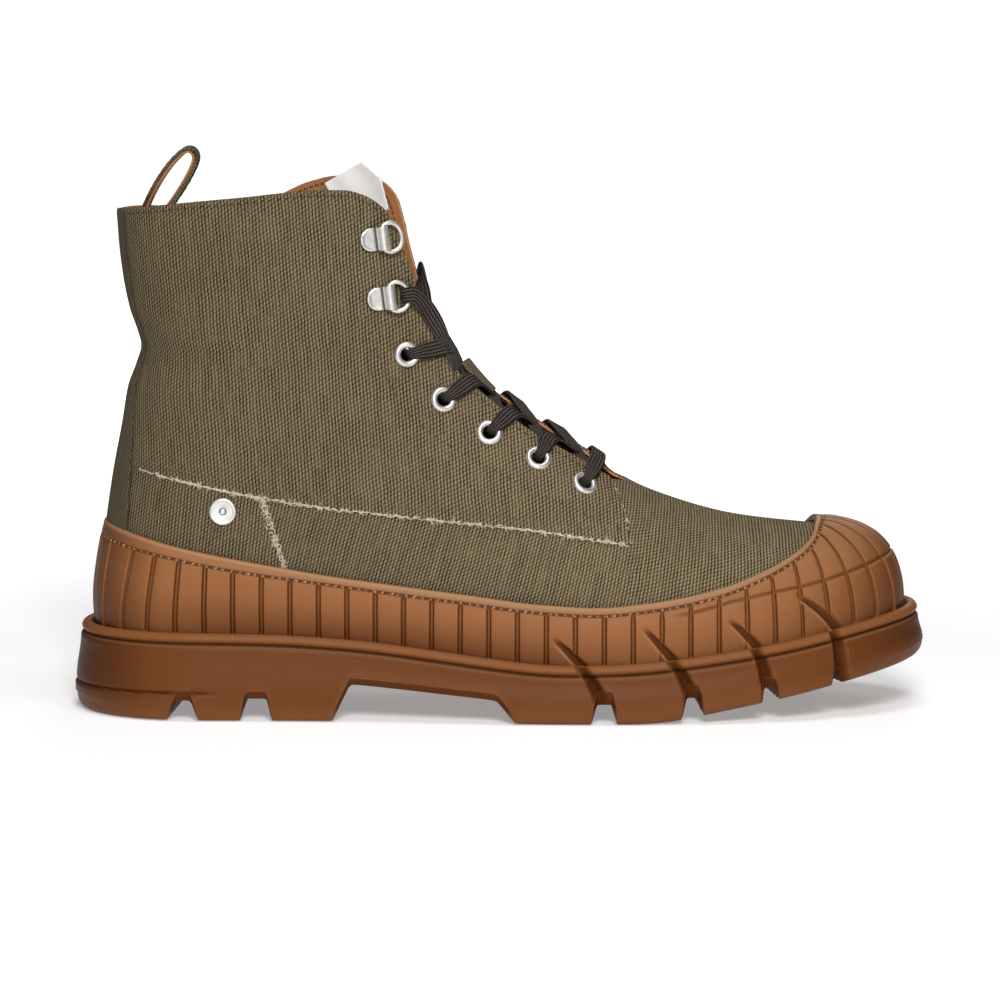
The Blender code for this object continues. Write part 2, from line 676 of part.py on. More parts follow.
def make_rings():
    for side, word in ((-1, "lateral"), (1, "medial")):
        for level, x, z in RINGS:
            bar, ahead, up, n = ring_frame(x, z, side)
            outer = BARREL_BORE + CLIP_SHEET
            turn = [math.radians(a) for a in range(-90, 171, 26)]
            profile = [(-CLIP_LONG, -outer)]
            profile += [(outer * math.cos(a), outer * math.sin(a)) for a in turn]
            profile += [(BARREL_BORE * math.cos(a), BARREL_BORE * math.sin(a)) for a in turn[::-1]]
            profile += [(-CLIP_LONG, -BARREL_BORE)]
            count = len(profile)
            points = [bar + a * ahead + h * n + b * CLIP_TALL / 2 * up
                      for b in (-1, 1) for a, h in profile]
            faces = ring_faces(2, count)
            half = count // 2
            for end in (0, count):
                faces += [[end + k, end + k + 1, end + count - 2 - k, end + count - 1 - k]
                          for k in range(half - 1)]
            add_mesh("clip_%s_%s" % (word, level), points, faces, NICKEL)
            bow = RING_REACH / 2
            path = [(0.0, -CLIP_TALL / 2 - 0.1), (0.0, 0.0), (0.0, CLIP_TALL / 2 + 0.1)]
            for k in range(9):
                a = math.pi / 2 - math.pi * k / 8
                path.append((bow * 0.55 + (RING_REACH - bow * 0.55) * max(0.0, math.cos(a)) ** 0.8,
                             RING_TALL / 2 * math.sin(a)))
            ring = tube("ring_%s_%s" % (word, level),
                        [a * ahead + b * up for a, b in path], WIRE, 6, NICKEL, True)
            ring.location = [c * MM for c in bar]


# ----------------------------------------------------------------------- lace
LACE_LIFT = 1.9          # middle of the lace above the canvas face
LACE_START = 5.6         # lace starts this far from an eyelet's centre
LACE_SHORT = 3.9         # lace stops this far inside the throat edge


def lace_rows():
    """Lacing places up the boot: eyelets, then the lower rings' bow."""
    ring = [(RINGS[0][1] + 6.5, RINGS[0][2] - 0.5)]
    return EYELETS + ring


def edge_near(x, z):
    """Nearest point of the throat edge, seen from the side."""
    xs = np.linspace(-40, THROAT_X - 0.5, 600)
    zs = edge_z(xs)
    k = int(np.argmin((xs - x) ** 2 + (zs - z) ** 2))
    return xs[k], float(zs[k])


def throat_way(x):
    t = np.array([1.0, 0.0, float(edge_z(x + 1) - edge_z(x - 1)) / 2])
    return t / np.linalg.norm(t)


def lace_run(high, low, side, lift):
    """Lace from outside the row `high` on `side`, over the edge, across the
    throat to just inside the other edge at row `low`."""
    hx, hz = high
    ex, ez = edge_near(hx, hz)
    lx, lz = edge_near(*low)
    start = np.array([hx, hz]) + (np.array([ex, ez]) - [hx, hz]) * min(
        0.85, LACE_START / max(math.hypot(ex - hx, ez - hz), 1e-6))
    half = (start + [ex, ez]) / 2
    four = off_face(lx, lz, -side, -WALL * 0.8)
    out = face_normal(lx, lz, -side)
    crest = np.array([out[0], 0.0, out[2]])
    crest /= np.linalg.norm(crest)
    two = off_face(ex, ez, side, LACE_LIFT + 0.3)
    mid = (two + four) / 2 + crest * (3.3 + lift)
    pull = (mid - four) / np.linalg.norm(mid - four)
    four = four + pull * LACE_SHORT
    near = two * 0.6 + mid * 0.4 + crest * 0.7
    path = [off_face(start[0], start[1], side, LACE_LIFT),
            off_face(half[0], half[1], side, LACE_LIFT), two, near, mid,
            (mid + four) / 2 + crest * 0.7, four]
    between_x = (ex + lx) / 2
    across = [throat_way(v) for v in (ex, ex, ex, ex, between_x, lx, lx)]
    return path, across


def make_lace():
    rows = lace_rows()
    x, z = rows[0]
    ex, ez = edge_near(x, z)
    ends = []
    for side in (-1, 1):
        start = np.array([x, z]) + (np.array([ex, ez]) - [x, z]) * min(
            0.85, LACE_START / math.hypot(ex - x, ez - z))
        ends.append((off_face(start[0], start[1], side, LACE_LIFT),
                     off_face(ex, ez, side, LACE_LIFT + 0.4)))
    top = (ends[0][1] + ends[1][1]) / 2
    out = face_normal(ex, ez, -1)
    crest = np.array([out[0], 0.0, out[2]])
    top = top + 2.4 * crest / np.linalg.norm(crest)
    path = [ends[0][0], ends[0][1], top, ends[1][1], ends[1][0]]
    strap("lace_bar", path, [throat_way(ex)] * 5, LACE_WIDTH, LACE_THICK, LACE)
    for number in range(len(rows) - 1):
        one = lace_run(rows[number + 1], rows[number], -1, 0.35)
        two = lace_run(rows[number + 1], rows[number], 1, -0.35)
        cross = strap("lace_cross_%d" % (number + 1), one[0], one[1], LACE_WIDTH, LACE_THICK, LACE)
        other = strap("join_lace_%d" % (number + 1), two[0], two[1], LACE_WIDTH, LACE_THICK, LACE)
        other.hide_render = True
        other.display_type = 'WIRE'
        boolean(cross, other, 'UNION')


make_outsole()
make_upper()
make_shell()
make_insole()
make_tongue()
make_keeper()
make_loop()
make_label()
make_eyelets()
make_rivet()
make_rings()
make_lace()
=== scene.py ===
"""Looks of a lace-up boot: canvas upper, ribbed rubber shell, lugged rubber sole.

A right boot; +X toe, -Y outer side, +Z up.  Sizes are in millimetres and
meshes are made in metres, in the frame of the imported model.
"""
import math

import bmesh
import bpy
import numpy as np
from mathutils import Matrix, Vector


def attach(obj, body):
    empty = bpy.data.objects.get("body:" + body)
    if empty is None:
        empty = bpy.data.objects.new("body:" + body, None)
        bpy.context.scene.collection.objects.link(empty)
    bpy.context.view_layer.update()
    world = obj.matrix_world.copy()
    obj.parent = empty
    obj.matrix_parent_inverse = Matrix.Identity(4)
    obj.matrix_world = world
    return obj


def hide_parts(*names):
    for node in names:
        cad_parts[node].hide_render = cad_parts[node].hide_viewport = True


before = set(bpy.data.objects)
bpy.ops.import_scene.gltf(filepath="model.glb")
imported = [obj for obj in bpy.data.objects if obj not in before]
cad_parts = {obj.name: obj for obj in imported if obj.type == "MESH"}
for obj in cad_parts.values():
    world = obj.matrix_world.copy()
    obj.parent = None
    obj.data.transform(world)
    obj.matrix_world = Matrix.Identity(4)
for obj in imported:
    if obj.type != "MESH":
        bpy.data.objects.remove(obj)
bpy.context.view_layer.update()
MM = 0.001
PI = math.pi
rng = np.random.default_rng(7)

# --------------------------------------------------------------- the boot's form
TOE_X, TOE_START, TOE_POWER, TOE_SWING = 146.7, 72.0, 2.3, 6.0
HEEL_Y, HEEL_ROUND, HEEL_POWER = -2.3, 40.0, 2.2
FEATHER_DROP = 2.0
WALL = 2.4
SHELL_GAP, SHELL_WALL = 0.7, 2.5
LACE_WIDTH, LACE_THICK = 6.3, 1.3

BEAD = [(-156, 32.2), (-128, 31.8), (-108, 31.6), (-84, 31.2), (-54, 29.5),
        (-25, 26.3), (0, 23.1), (21, 21.2), (40, 21.4), (54, 22.2), (70, 24.0),
        (90, 26.8), (108, 29.9), (126, 33.8), (150, 38.7)]
BACK = [(26, -146.2), (40, -147.2), (54, -146.4), (70, -144.4), (88, -141.8),
        (105, -138.6), (118, -136.2), (126, -133.2), (133, -131.5),
        (139, -132.6), (147, -135.2), (158, -137.4), (173, -139.2),
        (186, -139.9), (230, -140.0)]
FOOT = [(-150, 36.0, 36.0), (-110, 36.0, 35.5), (-80, 36.5, 34.5),
        (-45, 38.5, 33.5), (-10, 43.0, 37.0), (25, 47.0, 43.0),
        (50, 48.0, 46.0), (75, 47.0, 47.0), (100, 45.5, 47.0),
        (125, 43.5, 46.5), (150, 42.0, 45.0)]
SHAFT = [(40, 36.5), (70, 35.5), (100, 33.0), (130, 31.0), (160, 32.0),
         (192, 34.0)]
RIDGE = [(146.7, 36.2), (146.4, 43), (145.5, 48), (143.8, 53), (141.2, 57.3),
         (137.5, 60.9), (131, 64.2), (122, 66.4), (112, 67.4), (100, 68.6),
         (81.3, 71.7), (69, 75.4), (58.4, 79.1), (48.4, 83.0), (38, 90.5),
         (27, 99.5), (16, 108.7), (6, 117.5), (-3, 126.5), (-10.5, 136),
         (-15.5, 146), (-19.5, 156), (-22.5, 166), (-25.5, 177), (-28.5, 189),
         (-32, 205), (-37, 230), (-45, 272), (-60, 350), (-90, 470),
         (-160, 640)]
TOP_EDGE = [(-141, 184.2), (-122, 186.2), (-108, 187.4), (-94, 188.5),
            (-79, 190.0), (-65, 191.1), (-56, 191.0), (-49.9, 189.5),
            (-44.1, 186.2), (-40.4, 182.4), (-38.2, 177.8), (-35.6, 171.0),
            (-33, 164.0), (-31, 158.2), (-28.9, 151.9), (-26.2, 144.8),
            (-23.1, 138.1), (-16, 125.8), (-9.1, 119.3), (-3.6, 114.6),
            (1.7, 110.2), (7.3, 105.9), (13.4, 101.8), (21.7, 97.0),
            (33, 90.4), (41, 85.6), (46.5, 84.1)]
THROAT_X = 46.5
SHELL_TOP = [(-147, 69.3), (-131, 65.4), (-108.6, 60.4), (-87, 56.3),
             (-61.5, 52.0), (-36, 48.6), (-11, 45.5), (14, 42.4), (36, 41.2),
             (57.7, 43.0), (79.6, 47.0), (95.8, 52.3), (104.6, 56.2),
             (110.2, 59.4), (114, 62.9), (115.6, 65.9), (116.4, 67.0)]
CAP_X = 116.4
UNDERSIDE = [(-160, 0.0), (48, 0.0), (60, 0.7), (69, 2.0), (80, 4.2), (94, 6.8),
             (103, 8.5), (122, 12.4), (131, 14.3), (146.7, 17.5)]
CHANNELS = [(-120.6, -109.5, -117.2, -112.0, 7.2, 0.06),
            (-93.8, -82.7, -92.0, -84.3, 8.0, 0.0),
            (32.9, 41.8, 34.7, 40.3, 7.2, -0.02),
            (65.1, 74.0, 67.0, 71.2, 9.4, -0.04),
            (93.8, 102.4, 95.2, 99.5, 12.6, -0.10),
            (120.6, 128.6, 122.3, 125.0, 17.6, -0.22)]
CHANNEL_SIDE = 48.0
WAIST = [(-61.0, -1.0), (-54.2, 13.6), (-1.1, 8.5), (6.2, -1.0)]
EYELETS = [(30.6, 84.2), (13.8, 93.4), (-4.0, 102.6), (-20.7, 114.8),
           (-33.8, 131.4)]
RINGS = [("lower", -40.4, 152.1), ("upper", -43.0, 173.5)]
RING_LEAN = math.radians(-7)
RIVET = (-100.3, 75.2)
TONGUE_FROM = (60.0, -26.8)
TONGUE_WING = (8.0, 20.0)
TONGUE_SINK = (3.4, 6.5)
TONGUE_THICK = 2.6
LOOP = [(-133.0, 166.0), (-132.6, 174.0), (-130.6, 181.5), (-127.0, 189.5),
        (-122.0, 197.5), (-117.5, 202.6), (-113.6, 204.8), (-111.4, 202.8),
        (-112.2, 198.4), (-115.6, 192.0), (-120.0, 185.4), (-125.0, 179.0),
        (-128.6, 172.8), (-129.8, 166.0)]
LOOP_WIDTH = 15.0
LABEL_CORNER = (-51.2, 199.4)
LABEL_LEAN = math.radians(30)
LABEL_SIZE = (16.0, 20.0)
LABEL_SINK = 9.2

# lower, frayed edge of the quarter panel and its front edge: x, z
PANEL_EDGE = [(-150, 93.4), (-132.2, 89.9), (-116, 86.2), (-94.2, 81.5), (-61.5, 76.3),
              (-25.3, 72.4), (10.9, 68.6), (36.2, 64.8), (47.4, 62.8)]
PANEL_FRONT = [(62.8, 47.4), (71.2, 46.0), (77.8, 44.0), (83.0, 41.7), (92.0, 36.5)]
# short frayed seam of the heel panel: z, x
HEEL_SEAM = [(46.0, -75.4), (55.7, -78.6), (79.2, -86.2), (90.0, -89.7)]
# sewn line of the eyelet facing: x, z
FACING = [(-52.8, 186.0), (-52.2, 172.0), (-51.6, 160.0), (-49.0, 148.0), (-45.5, 135.0), (-40.5, 122.5),
          (-33.0, 110.0), (-20.0, 99.5), (-2.0, 89.5), (16.0, 80.5), (33.0, 73.0), (40.5, 70.0)]
# cross groove of the toe: x, z
TOE_GROOVE = [(40, 36.5), (56, 38.5), (69.8, 40.4), (77, 41.1), (84.5, 42.4), (99, 45.0), (110, 46.7),
              (129.7, 51.4), (144.2, 56.0), (150, 57.3)]
# slanting grooves from the shell into the lug gaps: x, z down the side, each with half widths
SLANTS = [[(18.6, 31.0), (29.1, 20.8), (33.5, 14.5), (37.6, 5.0)],
          [(50.9, 34.6), (61.8, 22.8), (66.2, 16.5), (70.0, 6.0)],
          [(81.4, 36.8), (92.2, 26.5), (95.4, 18.5), (97.6, 9.0)],
          [(105.8, 44.6), (121.0, 32.2), (123.2, 24.0), (124.4, 14.5)]]


def through(rows, column=1):
    """A smooth curve, free of overshoot, through two columns of a table."""
    rows = sorted(rows)
    xs = np.array([row[0] for row in rows], float)
    ys = np.array([row[column] for row in rows], float)
    step = np.diff(xs)
    rise = np.diff(ys) / step
    slope = np.zeros_like(xs)
    for i in range(1, len(xs) - 1):
        if rise[i - 1] * rise[i] > 0:
            a, b = 2 * step[i] + step[i - 1], step[i] + 2 * step[i - 1]
            slope[i] = (a + b) / (a / rise[i - 1] + b / rise[i])
    slope[0], slope[-1] = rise[0], rise[-1]

    def curve(x):
        x = np.asarray(x, float)
        inside = np.clip(x, xs[0], xs[-1])
        i = np.clip(np.searchsorted(xs, inside) - 1, 0, len(xs) - 2)
        t = (inside - xs[i]) / step[i]
        y = ((1 + 2 * t) * (1 - t) ** 2 * ys[i] + t * (1 - t) ** 2 * step[i] * slope[i]
             + t * t * (3 - 2 * t) * ys[i + 1] + t * t * (t - 1) * step[i] * slope[i + 1])
        return (y + np.where(x < xs[0], slope[0] * (x - xs[0]), 0.0)
                + np.where(x > xs[-1], slope[-1] * (x - xs[-1]), 0.0))
    return curve


def softened(curve, low, high, spread, hold):
    """A curve with its bends eased over `spread`, left as it is beyond `hold`."""
    xs = np.arange(low, high, 0.5)
    weight = np.exp(-0.5 * (np.arange(-3 * spread, 3 * spread + 0.5, 0.5) / spread) ** 2)
    weight /= weight.sum()
    reach = (len(weight) - 1) / 4
    wide = np.arange(low - reach, high + reach - 0.25, 0.5)
    ys = np.convolve(curve(wide), weight, mode="valid")[:len(xs)]

    def eased(x):
        x = np.asarray(x, float)
        mix = np.clip((x - hold + 15) / 15, 0, 1)
        mix = mix * mix * (3 - 2 * mix)
        return np.interp(x, xs, ys) * (1 - mix) + curve(x) * mix
    return eased


bead_z = softened(through(BEAD), -160, 160, 6.0, 150)
back_x = through(BACK)
foot_lateral, foot_medial = through(FOOT, 1), through(FOOT, 2)
shaft_half = through(SHAFT)
ridge_z = softened(through(RIDGE), -160, 140, 5.0, 132)
edge_z = through(TOP_EDGE)
shell_z = through(SHELL_TOP)
under_z = through(UNDERSIDE)
panel_z = through(PANEL_EDGE)
panel_front_x = through(PANEL_FRONT)
heel_seam_x = through(HEEL_SEAM)
toe_groove_z = through(TOE_GROOVE)


def ease(t):
    t = np.clip(t, 0.0, 1.0)
    return t * t * (3 - 2 * t)


def feather_z(x):
    return bead_z(x) - FEATHER_DROP


def centre_y(x):
    return HEEL_Y + TOE_SWING * ease((np.asarray(x, float) + 10) / 150)


def arch_power(x):
    return 1.9 + 0.4 * ease((np.asarray(x, float) + 10) / 80)


def full_width(x, z, side):
    """Half width before the section closes in toward its crest; side may be an array."""
    x, z = np.asarray(x, float), np.asarray(z, float)
    foot = np.where(np.asarray(side) < 0, foot_lateral(x), foot_medial(x))
    blend = ease((z - 45) / 60) * ease((40 - x) / 70)
    width = (1 - blend) * foot + blend * shaft_half(z)
    toe = np.clip((x - TOE_START) / (TOE_X - TOE_START), 0, 1)
    width = width * (1 - toe ** TOE_POWER) ** (1 / TOE_POWER)
    heel = np.clip((x - back_x(z)) / HEEL_ROUND, 0, 1)
    return width * (1 - (1 - heel) ** HEEL_POWER) ** (1 / HEEL_POWER)


def half_width(x, z, side):
    low = feather_z(x)
    rise = np.clip((z - low) / np.maximum(ridge_z(x) - low, 1e-6), 0, 1)
    return full_width(x, z, side) * np.sqrt(np.clip(1 - rise ** arch_power(x), 0, 1))


def face_point(x, z, side):
    return np.array([x, float(centre_y(x) + side * half_width(x, z, side)), z])


def face_normal(x, z, side):
    e = 0.05
    hx = (half_width(x + e, z, side) - half_width(x - e, z, side)) / (2 * e)
    hz = (half_width(x, z + e, side) - half_width(x, z - e, side)) / (2 * e)
    cx = (centre_y(x + e) - centre_y(x - e)) / (2 * e)
    n = np.array([float(-side * cx - hx), float(side), float(-hz)])
    return n / np.linalg.norm(n)


def off_face(x, z, side, height):
    return face_point(x, z, side) + height * face_normal(x, z, side)


HEEL_X = float(back_x(feather_z(-146.0)))


def surface(s, a):
    """Point of the upper's face.  s is the section's place along the feather line;
    a runs round the section: 0 outer feather line, pi/2 crest, pi inner feather line."""
    s, a = np.broadcast_arrays(np.asarray(s, float), np.asarray(a, float))
    side = np.where(a <= PI / 2, -1.0, 1.0)
    low, crest = feather_z(s), ridge_z(s)
    z = low + (crest - low) * np.abs(np.sin(a)) ** (2 / arch_power(s))
    fade = 1 - ease((s - HEEL_X) / 75)
    x = s + (back_x(z) - HEEL_X) * fade
    low2 = feather_z(x)
    rise = np.clip((z - low2) / np.maximum(ridge_z(x) - low2, 1e-6), 0, 1)
    arch = np.where(fade > 0, np.sqrt(np.clip(1 - rise ** arch_power(x), 0, 1)), np.abs(np.cos(a)))
    y = centre_y(x) + side * full_width(x, z, side) * arch
    return np.stack([x, y, z], axis=-1)


def surface_normal(s, a):
    s, a = np.broadcast_arrays(np.asarray(s, float), np.asarray(a, float))
    ds, da = 0.06, 0.0015
    s0, s1 = np.maximum(s - ds, HEEL_X + 1e-4), np.minimum(np.maximum(s, HEEL_X) + ds, TOE_X - 1e-3)
    s0 = np.minimum(s0, s1 - 0.02)
    side = np.where(a <= PI / 2, 1.0, -1.0)
    a0 = np.where(side > 0, np.maximum(a - da, 0.0), np.maximum(a - da, PI / 2 + 1e-7))
    a1 = np.where(side > 0, np.minimum(a + da, PI / 2), np.minimum(a + da, PI))
    crest = np.abs(a - PI / 2) < da
    a0 = np.where(crest, PI / 2 - da, a0)
    a1 = np.where(crest, PI / 2 + da, a1)
    ps = surface(s1, a) - surface(s0, a)
    pa = surface(s, a1) - surface(s, a0)
    n = np.cross(ps, pa)
    return n / np.maximum(np.linalg.norm(n, axis=-1, keepdims=True), 1e-12)


def angle_at(s, z, side=-1):
    """Angle round section s at which the face reaches height z."""
    low, crest = feather_z(s), ridge_z(s)
    share = np.clip((z - low) / np.maximum(crest - low, 1e-6), 0, 1)
    a = np.arcsin(np.minimum(1.0, share ** (arch_power(s) / 2)))
    return a if side < 0 else PI - a


def section_of(x, z):
    """Section whose leaning line passes through x at height z."""
    x, z = np.broadcast_arrays(np.asarray(x, float), np.asarray(z, float))
    low, high = np.full(x.shape, HEEL_X), np.full(x.shape, TOE_X)
    for _ in range(50):
        mid = (low + high) / 2
        at = mid + (back_x(z) - HEEL_X) * (1 - ease((mid - HEEL_X) / 75))
        low = np.where(at < x, mid, low)
        high = np.where(at < x, high, mid)
    return (low + high) / 2


def true_curve(s, curve):
    """Height of a curve given in true x, met by the leaning line of section s."""
    s = np.asarray(s, float)
    z = curve(s)
    for _ in range(12):
        x = s + (back_x(z) - HEEL_X) * (1 - ease((s - HEEL_X) / 75))
        z = curve(x)
    return z


# place along the feather line, as run from the heel, for each side
_t = (1 - np.cos(PI * np.linspace(0, 1, 6001))) / 2
S_TABLE = HEEL_X + (TOE_X - HEEL_X) * _t
RUN = {}
for _side in (-1, 1):
    _y = centre_y(S_TABLE) + _side * full_width(S_TABLE, feather_z(S_TABLE), _side)
    _y[0], _y[-1] = centre_y(S_TABLE[0]), centre_y(S_TABLE[-1])
    RUN[_side] = np.concatenate([[0], np.cumsum(np.hypot(np.diff(S_TABLE), np.diff(_y)))])


def run_of(s, side):
    return np.interp(s, S_TABLE, RUN[side])


def s_of_run(c, side):
    return np.interp(c, RUN[side], S_TABLE)


def mean_run(s):
    return (run_of(s, -1) + run_of(s, 1)) / 2


# girth from the feather line up each section
_gs = np.linspace(HEEL_X + 0.01, TOE_X - 0.01, 400)
_ga = np.linspace(0, PI / 2, 500)
GIRTH = {}
for _side in (-1, 1):
    _p = surface(_gs[:, None], (_ga if _side < 0 else PI - _ga)[None, :])
    _d = np.linalg.norm(np.diff(_p, axis=1), axis=2)
    GIRTH[_side] = np.concatenate([np.zeros((len(_gs), 1)), np.cumsum(_d, axis=1)], axis=1)


def girth(s, a):
    """Length round the section from its own feather line."""
    side = np.where(a <= PI / 2, -1, 1)
    b = np.where(side < 0, a, PI - a)
    i = np.clip((np.asarray(s) - _gs[0]) / (_gs[-1] - _gs[0]) * (len(_gs) - 1), 0, len(_gs) - 1.001)
    j = np.clip(b / (PI / 2) * (len(_ga) - 1), 0, len(_ga) - 1.001)
    i0, j0 = i.astype(int), j.astype(int)
    fi, fj = i - i0, j - j0
    out = 0
    for side_key in (-1, 1):
        g = GIRTH[side_key]
        v = ((1 - fi) * (1 - fj) * g[i0, j0] + fi * (1 - fj) * g[i0 + 1, j0]
             + (1 - fi) * fj * g[i0, j0 + 1] + fi * fj * g[i0 + 1, j0 + 1])
        out = out + np.where(side == side_key, v, 0)
    return out


def crest_girth(s):
    return (girth(s, np.full(np.shape(s), PI / 2)) + girth(s, np.full(np.shape(s), PI / 2 + 1e-6))) / 2


# length along the level line of the face behind x = -40, for the weave of the shaft
_az = np.arange(30.0, 206.0, 5.0)
_at = 1 - np.cos(PI / 2 * np.linspace(0, 1, 400))
LEVEL = {}
for _side in (-1, 1):
    _rows = []
    for _z in _az:
        _x = back_x(_z) + (-40.0 - back_x(_z)) * _at
        _y = centre_y(_x) + _side * full_width(_x, np.full_like(_x, _z), _side)
        _run = np.concatenate([[0], np.cumsum(np.hypot(np.diff(_x), np.diff(_y)))])
        _rows.append(-40.0 - (_run[-1] - _run))
    LEVEL[_side] = np.array(_rows)


def level_run(x, z, side):
    """Place along the level line: x itself ahead of -40, length round the heel behind it."""
    x, z = np.broadcast_arrays(np.asarray(x, float), np.asarray(z, float))
    back = back_x(z)
    t = np.clip((x - back) / (-40.0 - back), 0, 1)
    i = np.clip((z - _az[0]) / 5.0, 0, len(_az) - 1.001)
    j = np.clip(np.arccos(1 - t) / (PI / 2) * (len(_at) - 1), 0, len(_at) - 1.001)
    i0, j0 = i.astype(int), j.astype(int)
    fi, fj = i - i0, j - j0
    g = LEVEL[side]
    v = ((1 - fi) * (1 - fj) * g[i0, j0] + fi * (1 - fj) * g[i0 + 1, j0]
         + (1 - fi) * fj * g[i0, j0 + 1] + fi * fj * g[i0 + 1, j0 + 1])
    return np.where(x >= -40, x, v)


# soft troughs (negative) and ridges of the canvas: points x, z; half width; height; side (0 both)
CREASES = [
    ([(-131, 134), (-116, 129), (-98, 121)], 5.0, -1.1, 0),
    ([(-128, 143), (-112, 140), (-92, 133)], 7.0, 0.6, 0),
    ([(-130, 122), (-112, 115), (-88, 108)], 7.0, 0.5, 0),
    ([(-20, 122), (-42, 118), (-66, 107)], 7.0, -0.55, 0),
    ([(-8, 112), (-34, 104), (-60, 93)], 8.0, 0.45, 0),
    ([(-112, 178), (-104, 160), (-100, 143)], 8.0, -0.5, 0),
    ([(-84, 184), (-78, 163), (-76, 146)], 9.0, 0.45, -1),
    ([(-64, 158), (-58, 140), (-60, 124)], 9.0, -0.4, -1),
    ([(58, 72), (52, 62), (50, 52)], 6.0, -0.5, 0),
    ([(76, 68), (70, 58), (66, 49)], 7.0, 0.4, 0),
    ([(88, 66), (82, 58), (80, 51)], 6.0, -0.3, -1),
    ([(10, 62), (-20, 58), (-48, 56)], 6.0, -0.3, 0),
]


def to_line(x, z, line):
    """Distance to a polyline in the side view, and share along it (0 to 1)."""
    best = np.full(np.shape(x), 1e9)
    share = np.zeros(np.shape(x))
    pts = np.asarray(line, float)
    seg = np.linalg.norm(np.diff(pts, axis=0), axis=1)
    total, done = seg.sum(), 0.0
    for (x0, z0), (x1, z1), size in zip(pts[:-1], pts[1:], seg):
        t = np.clip(((x - x0) * (x1 - x0) + (z - z0) * (z1 - z0)) / size ** 2, 0, 1)
        d = np.hypot(x - x0 - t * (x1 - x0), z - z0 - t * (z1 - z0))
        near = d < best
        best = np.where(near, d, best)
        share = np.where(near, (done + t * size) / total, share)
        done += size
    return best, share


def crease(p, side):
    """Soft swelling of the canvas at points p."""
    x, z = p[..., 0], p[..., 2]
    out = np.zeros(x.shape)
    for line, wide, height, which in CREASES:
        d, share = to_line(x, z, line)
        ends = np.sin(PI * (0.12 + 0.76 * share)) ** 1.3
        amount = height * np.exp(-(d / wide) ** 2) * ends
        if which:
            amount = np.where(side == which, amount, 0.35 * amount)
        out += amount
    out += 0.16 * np.sin(x / 13.0 + 0.7 * np.sin(z / 17.0)) * np.sin(z / 15.0 + 1.3 + x / 41.0)
    return out * ease((edge_z(np.minimum(x, THROAT_X)) - z) / 10 + np.where(x > THROAT_X, 5, 0))


# ------------------------------------------------------------------- mesh tools
def quads(n, m, wrap=False, start=0):
    """Quads of an n by m grid of points, n the slow index."""
    i = np.arange(n if wrap else n - 1)
    j = np.arange(m - 1)
    i, j = np.meshgrid(i, j, indexing="ij")
    k = (i + 1) % n
    return (np.stack([i * m + j, k * m + j, k * m + j + 1, i * m + j + 1], axis=-1)
            .reshape(-1, 4) + start)


def make_object(name, points, faces, mats, index=None, uv=None, corner=None, attrs=None, sharp=None,
                body="boot", weld=0.0):
    """One object from points in millimetres.  uv is per point, or per corner source when
    `corner` gives, for each face, the uv rows to use."""
    mesh = bpy.data.meshes.new(name)
    faces = [np.asarray(f) for f in faces] if isinstance(faces, list) else faces
    face_list = faces.tolist() if isinstance(faces, np.ndarray) else [f.tolist() for f in faces]
    mesh.from_pydata((np.asarray(points, float) * MM).tolist(), [], face_list)
    for mat in mats:
        mesh.materials.append(mat)
    if index is not None:
        mesh.polygons.foreach_set("material_index", np.asarray(index, np.int32))
    if uv is not None:
        layer = mesh.uv_layers.new(name="weave")
        if corner is None:
            loops = np.empty(len(mesh.loops), np.int32)
            mesh.loops.foreach_get("vertex_index", loops)
        else:
            loops = np.asarray(corner).reshape(-1)
        layer.data.foreach_set("uv", np.asarray(uv, np.float32)[loops].reshape(-1))
    for key, values in (attrs or {}).items():
        attribute = mesh.attributes.new(key, 'FLOAT', 'POINT')
        attribute.data.foreach_set("value", np.asarray(values, np.float32))
    bm = bmesh.new()
    bm.from_mesh(mesh)
    if weld:
        bmesh.ops.remove_doubles(bm, verts=bm.verts, dist=weld * MM)
    bmesh.ops.dissolve_degenerate(bm, edges=bm.edges, dist=1e-7)
    bmesh.ops.recalc_face_normals(bm, faces=bm.faces)
    bm.to_mesh(mesh)
    bm.free()
    mesh.shade_smooth()
    if sharp:
        mesh.set_sharp_from_angle(angle=math.radians(sharp))
    obj = bpy.data.objects.new(name, mesh)
    bpy.context.scene.collection.objects.link(obj)
    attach(obj, body)
    return obj


def weld_index(points, tol=1e-3):
    """First point of each group of points that lie together."""
    key = np.round(points / tol).astype(np.int64)
    _, first, inverse = np.unique(key, axis=0, return_index=True, return_inverse=True)
    return first, inverse.reshape(-1)


